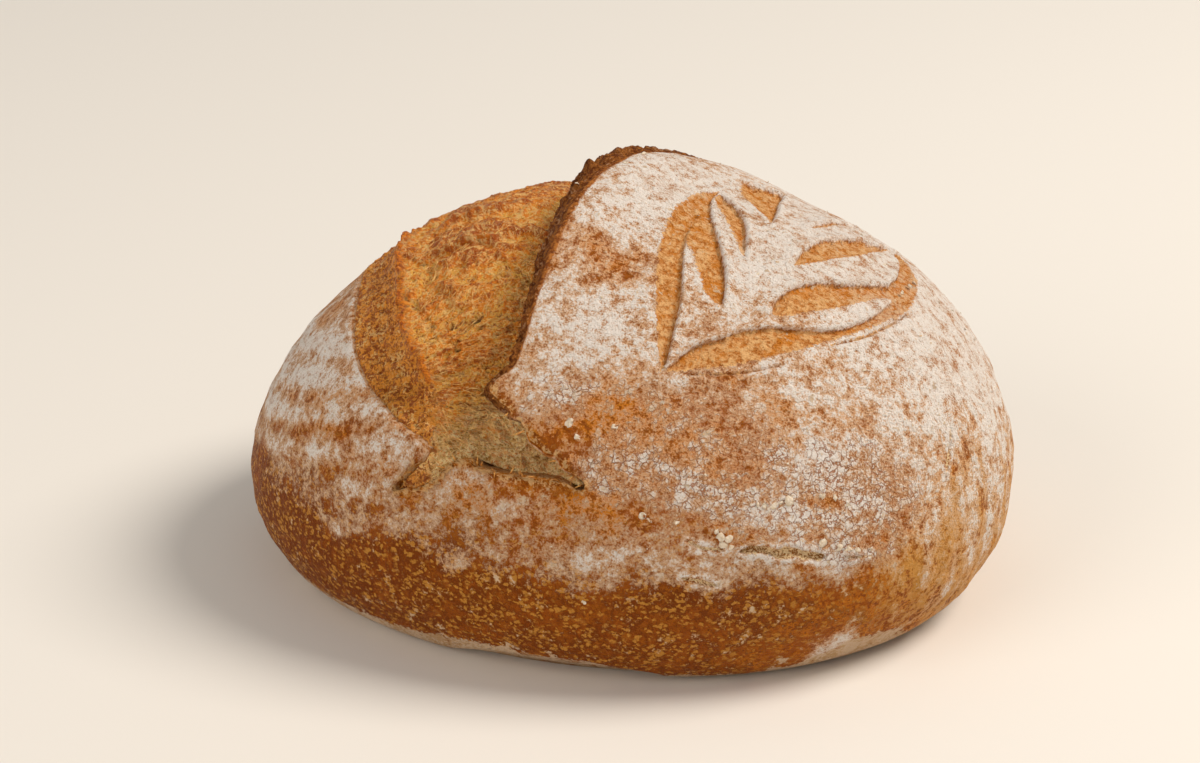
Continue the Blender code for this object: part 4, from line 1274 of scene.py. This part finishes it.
def scatter_tree(name, shape):
    """A tree that puts a small shape on every point, by the point's own size and heading.

    shape(tree) gives the socket of the shape, about one metre across, along +Z.
    """
    tree = bpy.data.node_groups.new(name, "GeometryNodeTree")
    tree.is_modifier = True
    face = tree.interface
    face.new_socket("Geometry", in_out="INPUT", socket_type="NodeSocketGeometry")
    scale = face.new_socket("Scale", in_out="INPUT", socket_type="NodeSocketFloat")
    rough = face.new_socket("Roughness", in_out="INPUT", socket_type="NodeSocketFloat")
    seed = face.new_socket("Seed", in_out="INPUT", socket_type="NodeSocketInt")
    finish = face.new_socket("Material", in_out="INPUT", socket_type="NodeSocketMaterial")
    face.new_socket("Geometry", in_out="OUTPUT", socket_type="NodeSocketGeometry")
    group = tree.nodes.new("NodeGroupInput")
    heading, size = (add(tree, "GeometryNodeInputNamedAttribute", {"Name": key}, data_type="FLOAT_VECTOR")
                     for key in ("heading", "size"))
    size = add(tree, "ShaderNodeVectorMath", {0: size, "Scale": group.outputs["Scale"]}, operation="SCALE")
    points = add(tree, "GeometryNodeMeshToPoints", {"Mesh": group.outputs["Geometry"]})
    aimed = add(tree, "FunctionNodeAlignRotationToVector", {"Vector": heading}, axis="Z")
    twist = add(tree, "FunctionNodeRandomValue", {2: 0.0, 3: 2 * math.pi, "Seed": group.outputs["Seed"]},
                out=1, data_type="FLOAT")
    twist = add(tree, "FunctionNodeAxisAngleToRotation", {"Axis": (0, 0, 1), "Angle": twist})
    twisted = add(tree, "FunctionNodeRotateRotation", {"Rotation": aimed, "Rotate By": twist},
                  rotation_space="LOCAL")
    placed = add(tree, "GeometryNodeInstanceOnPoints",
                 {"Points": points, "Instance": shape(tree), "Rotation": twisted, "Scale": size})
    real = add(tree, "GeometryNodeRealizeInstances", {"Geometry": placed})
    bumps = add(tree, "ShaderNodeTexNoise", {"Vector": add(tree, "GeometryNodeInputPosition"),
                                             "Scale": PER_METRE / 0.9, "Detail": 1.0}, out="Color")
    bumps = add(tree, "ShaderNodeVectorMath", {0: bumps, 1: (0.5, 0.5, 0.5)}, operation="SUBTRACT")
    bumps = add(tree, "ShaderNodeVectorMath", {0: bumps, "Scale": group.outputs["Roughness"]},
                operation="SCALE")
    moved = add(tree, "GeometryNodeSetPosition", {"Geometry": real, "Offset": bumps})
    done = add(tree, "GeometryNodeSetMaterial", {"Geometry": moved, "Material": group.outputs["Material"]})
    add(tree, "NodeGroupOutput", {"Geometry": done}, out=slice(0))
    return tree, {"Scale": scale, "Roughness": rough, "Seed": seed, "Material": finish}


def scatter(name, places, headings, sizes, shape, roughness, seed, material):
    """Makes one plain mesh of small shapes on given places."""
    cloud = bpy.data.meshes.new(name + "_points")
    cloud.from_pydata(places.tolist(), [], [])
    for key, column in (("heading", headings), ("size", sizes)):
        cloud.attributes.new(key, "FLOAT_VECTOR", "POINT").data.foreach_set(
            "vector", column.astype(np.float32).ravel())
    carrier = bpy.data.objects.new(name + "_points", cloud)
    bpy.context.collection.objects.link(carrier)
    tree, sockets = scatter_tree(name + "_scatter", shape)
    modifier = carrier.modifiers.new("scatter", "NODES")
    modifier.node_group = tree
    for key, value in (("Scale", 1.0), ("Roughness", roughness), ("Seed", seed), ("Material", material)):
        modifier[sockets[key].identifier] = value
    bpy.context.view_layer.update()
    evaluated = carrier.evaluated_get(bpy.context.evaluated_depsgraph_get())
    mesh = bpy.data.meshes.new_from_object(evaluated)
    mesh.name = name
    carrier.modifiers.remove(modifier)
    bpy.data.objects.remove(carrier, do_unlink=True)
    if not mesh.materials:
        mesh.materials.append(material)
    mesh.shade_smooth()
    piece = bpy.data.objects.new(name, mesh)
    bpy.context.collection.objects.link(piece)
    return piece


def lump_shape(tree):
    """A small round lump."""
    return add(tree, "GeometryNodeMeshIcoSphere", {"Radius": 0.5, "Subdivisions": 2})


def thread_shape(tree):
    """A thin thread, thickest in its middle and bowed a little."""
    line = add(tree, "GeometryNodeCurveQuadraticBezier", {"Resolution": 6, "Start": (0, 0, -0.5),
                                                          "Middle": (1.2, 0, 0), "End": (0, 0, 0.5)})
    along = add(tree, "GeometryNodeSplineParameter", out="Factor")
    taper = add(tree, "ShaderNodeMath", {0: along, 1: math.pi}, operation="MULTIPLY")
    taper = add(tree, "ShaderNodeMath", {0: taper}, operation="SINE")
    taper = add(tree, "ShaderNodeMath", {0: taper, 1: 0.75, 2: 0.25}, operation="MULTIPLY_ADD")
    line = add(tree, "GeometryNodeSetCurveRadius", {"Curve": line, "Radius": taper})
    ring = add(tree, "GeometryNodeCurvePrimitiveCircle", {"Resolution": 5, "Radius": 0.5})
    return add(tree, "GeometryNodeCurveToMesh", {"Curve": line, "Profile Curve": ring, "Fill Caps": True})


def shard_shape(tree):
    """A pointed shred of crust."""
    return add(tree, "GeometryNodeMeshCone", {"Vertices": 6, "Side Segments": 3, "Radius Top": 0.04,
                                              "Radius Bottom": 0.5, "Depth": 1.0})


# ---------------------------------------------------------------------------------------------
# Settings, operators and panel

# Threads, shreds and grains: lengths, widths and thicknesses in metres, how far they stand proud
# or sink in and how far out they reach in millimetres, and a grain's shape as spans of its
# length, width and height.
THREAD_THICKNESS = (0.0001, 0.00022)
THREAD_LIFT = 0.15
SHREDS = 44
SHRED_LENGTH, SHRED_WIDTH = (0.0012, 0.0044), (0.0004, 0.0009)
SHRED_SINK = 0.25
GRAIN_REACH = 150
GRAIN_SHAPE = ((0.8, 1.3), (0.7, 1.0), (0.2, 0.36))


def colour_property(name, code, text):
    """A hex colour that a user may change."""
    return bpy.props.StringProperty(name=name, description=text, default=code)


class LoafCrustSettings(bpy.types.PropertyGroup):
    """Colours of the crust."""
    chestnut: colour_property("Chestnut", "#6E3004", "Darkest flecks of the bare crust")
    brown: colour_property("Brown", "#A25208", "Bare crust where it browned most")
    amber: colour_property("Amber", "#D07A16", "Bare crust where it browned least")
    # Laid more thickly on the shaded left, as painted shade.
    deep: colour_property("Deep amber", "#743200", "Bare crust low on the loaf")
    # The painted light of the lit right flank.
    golden: colour_property("Golden flank", "#DDA252", "Bare crust of the paler right flank")
    blister: colour_property("Blisters", "#D2913A", "Small pale blisters")
    veil: colour_property("Flour veil", "#DCB48E", "Thin flour over crust")
    flour: colour_property("Flour", "#F3EAE1", "Thick flour")
    craze: colour_property("Craze", "#A65C1A", "Lines between the plates of crazed flour")
    flour_shade: colour_property("Flour shade", "#DCC2AC", "Thinner places in thick flour")
    gold: colour_property("Scored gold", "#EBB87C", "Floors of the leaf scoring")
    gold_dark: colour_property("Scored shade", "#C67C38", "Darker parts of those floors")
    # Painted shadow under the overhanging edges of the scoring.
    shadow: colour_property("Scored edge", "#7C4418", "The wall under an overhanging edge")
    crack: colour_property("Crack", "#FBDDAC", "Moist crumb in the cracks")
    crack_shade: colour_property("Crack shade", "#AA6E34", "Its pits")
    rim: colour_property("Base rim", "#DCC0A0", "Pale floured rim at the base")
    rim_shade: colour_property("Base rim shade", "#C79E70", "Browner parts of the rim")
    lip: colour_property("Crust edge", "#B8763C", "The broken edge of the crust on the left")
    burnt: colour_property("Ear shade", "#7A3E16", "Deep parts of the ear's torn face")
    bark: colour_property("Ear face", "#BE7636", "The ear's torn face")
    bark_light: colour_property("Ear flour", "#D2A27C", "Flour and pale shreds on that face")


class LoafCrumbSettings(bpy.types.PropertyGroup):
    """Colours of the torn crumb, and its threads."""
    # Painted shade on the lowest crumb.
    shaded: colour_property("Pores", "#AC6014", "Pits of the crumb")
    pale: colour_property("Pale crumb", "#E8AE4C", "Stretched skins of crumb")
    # Pale walls and fibres of the crumb, and also painted highlights on the baked band's bumps.
    skin: colour_property("Crumb skin", "#F6CC84", "Thin dry walls between bubbles")
    golden: colour_property("Golden crumb", "#DC7E0E", "Crumb that took some colour")
    ember: colour_property("Browned crumb", "#A44C04", "Crumb that stands proud")
    moist: colour_property("Moist crumb", "#F9DFA4", "Crumb deep in the tear")
    moist_dark: colour_property("Moist pores", "#B88238", "Its pits")
    baked: colour_property("Baked band", "#EC9A36", "The band that opened first")
    baked_dark: colour_property("Baked band shade", "#A24E0C", "Its darker mottling")
    # Painted shade in the low spots of the crumb's bump, not a baked colour.
    pits: colour_property("Baked pits", "#A85A12", "Small pits that baked dark")
    # Painted shade inside the open bubbles.
    hollow: colour_property("Hollows", "#84663A", "Insides of the open bubbles")
    threads: bpy.props.IntProperty(name="Threads", description="Threads of crumb across the tear",
                                   default=300, min=0, max=2000)
    thread_length: bpy.props.FloatProperty(name="Thread length", description="Length of a long thread",
                                           default=0.0038, unit="LENGTH", subtype="DISTANCE")


class LoafFlourSettings(bpy.types.PropertyGroup):
    """Loose flour."""
    grains: bpy.props.IntProperty(name="Grains", description="Loose grains of flour on the crust",
                                  default=260, min=0, max=4000)
    grain_size: bpy.props.FloatProperty(name="Grain size", description="Size of a small clump of flour",
                                        default=0.0007, unit="LENGTH", subtype="DISTANCE", precision=4)


class LoafStageSettings(bpy.types.PropertyGroup):
    """Floor, light and camera."""
    floor: colour_property("Floor", "#E9E4DC", "The plain pale floor")
    azimuth: bpy.props.FloatProperty(name="Camera azimuth", description="Turn of the view to the right",
                                     default=math.radians(14.0), subtype="ANGLE")
    elevation: bpy.props.FloatProperty(name="Camera elevation", description="Tilt of the view downwards",
                                       default=math.radians(24.0), subtype="ANGLE")
    distance: bpy.props.FloatProperty(name="Camera distance", description="From the camera to its target",
                                      default=0.85, unit="LENGTH", subtype="DISTANCE")


class MESH_OT_loaf_crust(bpy.types.Operator):
    """Builds the crust, with the leaf scoring, the ear and the cracks"""
    bl_idname = "mesh.loaf_crust"
    bl_label = "Crust"

    def execute(self, context):
        crust = build_crust(crust_material(context.scene.loaf_crust))
        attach(crust, "root")
        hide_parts("loaf")
        return {"FINISHED"}


class MESH_OT_loaf_crumb(bpy.types.Operator):
    """Builds the torn crumb in the opening"""
    bl_idname = "mesh.loaf_crumb"
    bl_label = "Crumb"

    def execute(self, context):
        crumb = build_crumb(crumb_material(context.scene.loaf_crumb))
        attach(crumb, "root")
        return {"FINISHED"}


class MESH_OT_loaf_threads(bpy.types.Operator):
    """Stretches threads of crumb across the pits of the tear"""
    bl_idname = "mesh.loaf_threads"
    bl_label = "Crumb threads"

    def execute(self, context):
        settings = context.scene.loaf_crumb
        draw = np.random.default_rng(5)
        spots = lattice(1.0, jitter=0.5, seed=9)
        loop = even_points(OPENING, 300)
        spots = spots[is_inside(loop, spots)]
        u, v = spots.T
        spots = spots[(gap_to(ring_of(loop), spots) > 4) & (u > ridge_place(v) + 2) & (v < -10)]
        spots = spots[draw.permutation(len(spots))[:settings.threads]]
        height = bloom_height(spots) + crumb_relief(spots)[0] + THREAD_LIFT
        turn = fan_place(spots)[1] + draw.normal(0, 0.45, len(spots))
        ahead = spots + np.stack([np.cos(turn), np.sin(turn)], axis=-1)
        here = raised(spots, height)
        heading = unit(raised(ahead, height) - here)
        length = settings.thread_length * draw.uniform(0.3, 1.0, len(spots))
        thick = draw.uniform(*THREAD_THICKNESS, len(spots))
        sizes = np.stack([thick, thick, length], axis=-1)
        finish = plain_material("dried crumb thread, oven set", "#EABF74", 0.5, 1.2, 0.2, "#C8862E")
        threads = scatter("crumb_threads", here, heading, sizes, thread_shape, 0.0003, 3, finish)
        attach(threads, "root")
        return {"FINISHED"}


class MESH_OT_loaf_shreds(bpy.types.Operator):
    """Sets small pointed shreds of crust along the torn front edge"""
    bl_idname = "mesh.loaf_shreds"
    bl_label = "Torn shreds"

    def execute(self, context):
        draw = np.random.default_rng(8)
        loop = even_points(OPENING, 700)
        low_ear = (gap_to(EAR_CURVE, loop) < 0.6) & (loop[:, 1] < -84)
        chosen = np.flatnonzero((gap_to(TEAR_CURVE, loop) < 0.6) | low_ear)
        chosen = chosen[draw.permutation(len(chosen))[:SHREDS]]
        into = inward(loop)[chosen]
        spots = loop[chosen] + 0.1 * into
        height = crust_rise(spots) - SHRED_SINK
        here = raised(spots, height)
        there = raised(spots + 0.7 * into + draw.normal(0, 0.8, spots.shape),
                       height + draw.uniform(0.3, 2.0, len(spots)))
        heading = unit(there - here)
        long = draw.uniform(*SHRED_LENGTH, len(spots)) * draw.uniform(0.3, 1.0, len(spots))
        wide = draw.uniform(*SHRED_WIDTH, len(spots))
        sizes = np.stack([wide, wide * 0.4, long], axis=-1)
        finish = plain_material("torn crust shreds, oven crisped", "#E2A450", 0.6, 1.0, 0.6, "#B8701F")
        shreds = scatter("torn_shreds", here, heading, sizes, shard_shape, 0.0006, 4, finish)
        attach(shreds, "root")
        return {"FINISHED"}


class MESH_OT_loaf_flour(bpy.types.Operator):
    """Drops loose grains and lumps of flour on the crust"""
    bl_idname = "mesh.loaf_flour"
    bl_label = "Loose flour"

    def execute(self, context):
        settings = context.scene.loaf_flour
        draw = np.random.default_rng(12)
        spots = lattice(1.6, jitter=0.5, seed=21)
        loop = even_points(OPENING, 300)
        spots = spots[~is_inside(loop, spots) & (spots[:, 1] < 50) & (np.hypot(*spots.T) < GRAIN_REACH)]
        chance = np.clip(flour_level(spots), 0, 1) ** 2
        spots = spots[(draw.uniform(0, 1, len(spots)) < chance) & (leaf_cut(spots)[1] < -0.3)]
        spots = spots[draw.permutation(len(spots))[:settings.grains]]
        size = settings.grain_size * draw.uniform(0.4, 1.0, len(spots))
        spots = np.vstack([spots, [place for place, _ in FLOUR_LUMPS]])
        size = np.concatenate([size, [width * MM for _, width in FLOUR_LUMPS]])
        here = raised(spots, crust_rise(spots) + crust_relief(spots) + 0.02)
        heading = crust_normal(spots[:, 0], spots[:, 1])
        sizes = size[:, None] * np.stack([draw.uniform(*span, len(spots)) for span in GRAIN_SHAPE], axis=-1)
        finish = plain_material("loose rice flour, clumped", "#EADCC8", 0.95, 0.7, 0.6, "#D8C2A4")
        flour = scatter("loose_flour", here, heading, sizes, lump_shape, 0.0018, 6, finish)
        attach(flour, "root")
        return {"FINISHED"}


FLOOR_REACH = 3.0
LIGHTS = [    # name, place, size, power, colour
    ("key", (1.35, 0.3, 1.75), 1.0, 43.0, (1.0, 0.93, 0.85)),
    ("fill", (-1.1, -1.6, 1.0), 1.6, 17.0, (1.0, 0.94, 0.88)),
]
LIGHTS_AIM = (0.0, 0.0, 0.05)
ROOM_COLOUR, ROOM_LIGHT = (1.0, 0.97, 0.93, 1.0), 0.36
CAMERA_TARGET = Vector((-0.0071 + SHIFT[0] * MM, SHIFT[1] * MM, 0.051))
SENSOR_WIDTH, LENS = 36.0, 88.3


class MESH_OT_loaf_stage(bpy.types.Operator):
    """Sets the floor, the lights and the camera"""
    bl_idname = "mesh.loaf_stage"
    bl_label = "Stage"

    def execute(self, context):
        settings = context.scene.loaf_stage
        mesh = bpy.data.meshes.new("floor")
        corners = [(x * FLOOR_REACH, y * FLOOR_REACH, LOW.z)
                   for x, y in ((-1, -1), (1, -1), (1, 1), (-1, 1))]
        mesh.from_pydata(corners, [], [(0, 1, 2, 3)])
        mesh.materials.append(plain_material("matt painted board", settings.floor, 0.8, 40.0, 0.0))
        floor = bpy.data.objects.new("floor", mesh)
        context.collection.objects.link(floor)

        for name, place, size, power, colour in LIGHTS:
            lamp = bpy.data.lights.new(name, "AREA")
            lamp.shape, lamp.size, lamp.energy, lamp.color = "DISK", size, power, colour
            holder = bpy.data.objects.new(name, lamp)
            holder.location = place
            aim = Vector(LIGHTS_AIM) - Vector(place)
            holder.rotation_euler = aim.to_track_quat("-Z", "Y").to_euler()
            context.collection.objects.link(holder)
        world = bpy.data.worlds.new("soft room")
        world.use_nodes = True
        background = world.node_tree.nodes["Background"]
        background.inputs["Color"].default_value = ROOM_COLOUR
        background.inputs["Strength"].default_value = ROOM_LIGHT
        context.scene.world = world

        azimuth, elevation = settings.azimuth, settings.elevation
        back = Vector((math.sin(azimuth) * math.cos(elevation), -math.cos(azimuth) * math.cos(elevation),
                       math.sin(elevation)))
        lens = bpy.data.cameras.new("camera")
        lens.sensor_width = SENSOR_WIDTH
        lens.lens = LENS
        camera = bpy.data.objects.new("camera", lens)
        camera.location = CAMERA_TARGET + back * settings.distance
        camera.rotation_euler = back.to_track_quat("Z", "Y").to_euler()
        context.collection.objects.link(camera)
        context.scene.camera = camera
        context.scene.view_settings.view_transform = "Standard"
        return {"FINISHED"}


class VIEW3D_PT_loaf(bpy.types.Panel):
    """Lists the loaf's pieces"""
    bl_label = "Sourdough Loaf"
    bl_idname = "VIEW3D_PT_loaf"
    bl_space_type = "VIEW_3D"
    bl_region_type = "UI"
    bl_category = "Loaf"

    def draw(self, context):
        for operator, group in ((MESH_OT_loaf_stage, "loaf_stage"), (MESH_OT_loaf_crust, "loaf_crust"),
                                (MESH_OT_loaf_crumb, "loaf_crumb"), (MESH_OT_loaf_threads, None),
                                (MESH_OT_loaf_shreds, None), (MESH_OT_loaf_flour, "loaf_flour")):
            box = self.layout.box()
            box.operator(operator.bl_idname)
            if group:
                settings = getattr(context.scene, group)
                for key in settings.bl_rna.properties.keys():
                    if key not in ("rna_type", "name"):
                        box.prop(settings, key)


GROUPS = {"loaf_crust": LoafCrustSettings, "loaf_crumb": LoafCrumbSettings,
          "loaf_flour": LoafFlourSettings, "loaf_stage": LoafStageSettings}
CLASSES = [*GROUPS.values(), MESH_OT_loaf_stage, MESH_OT_loaf_crust, MESH_OT_loaf_crumb,
           MESH_OT_loaf_threads, MESH_OT_loaf_shreds, MESH_OT_loaf_flour, VIEW3D_PT_loaf]


def register():
    for item in CLASSES:
        bpy.utils.register_class(item)
    for name, group in GROUPS.items():
        setattr(bpy.types.Scene, name, bpy.props.PointerProperty(type=group))


def unregister():
    for name in GROUPS:
        delattr(bpy.types.Scene, name)
    for item in reversed(CLASSES):
        bpy.utils.unregister_class(item)


def main():
    register()
    bpy.ops.mesh.loaf_stage()
    bpy.ops.mesh.loaf_crust()
    bpy.ops.mesh.loaf_crumb()
    bpy.ops.mesh.loaf_threads()
    bpy.ops.mesh.loaf_shreds()
    bpy.ops.mesh.loaf_flour()


if __name__ == "__main__":
    main()
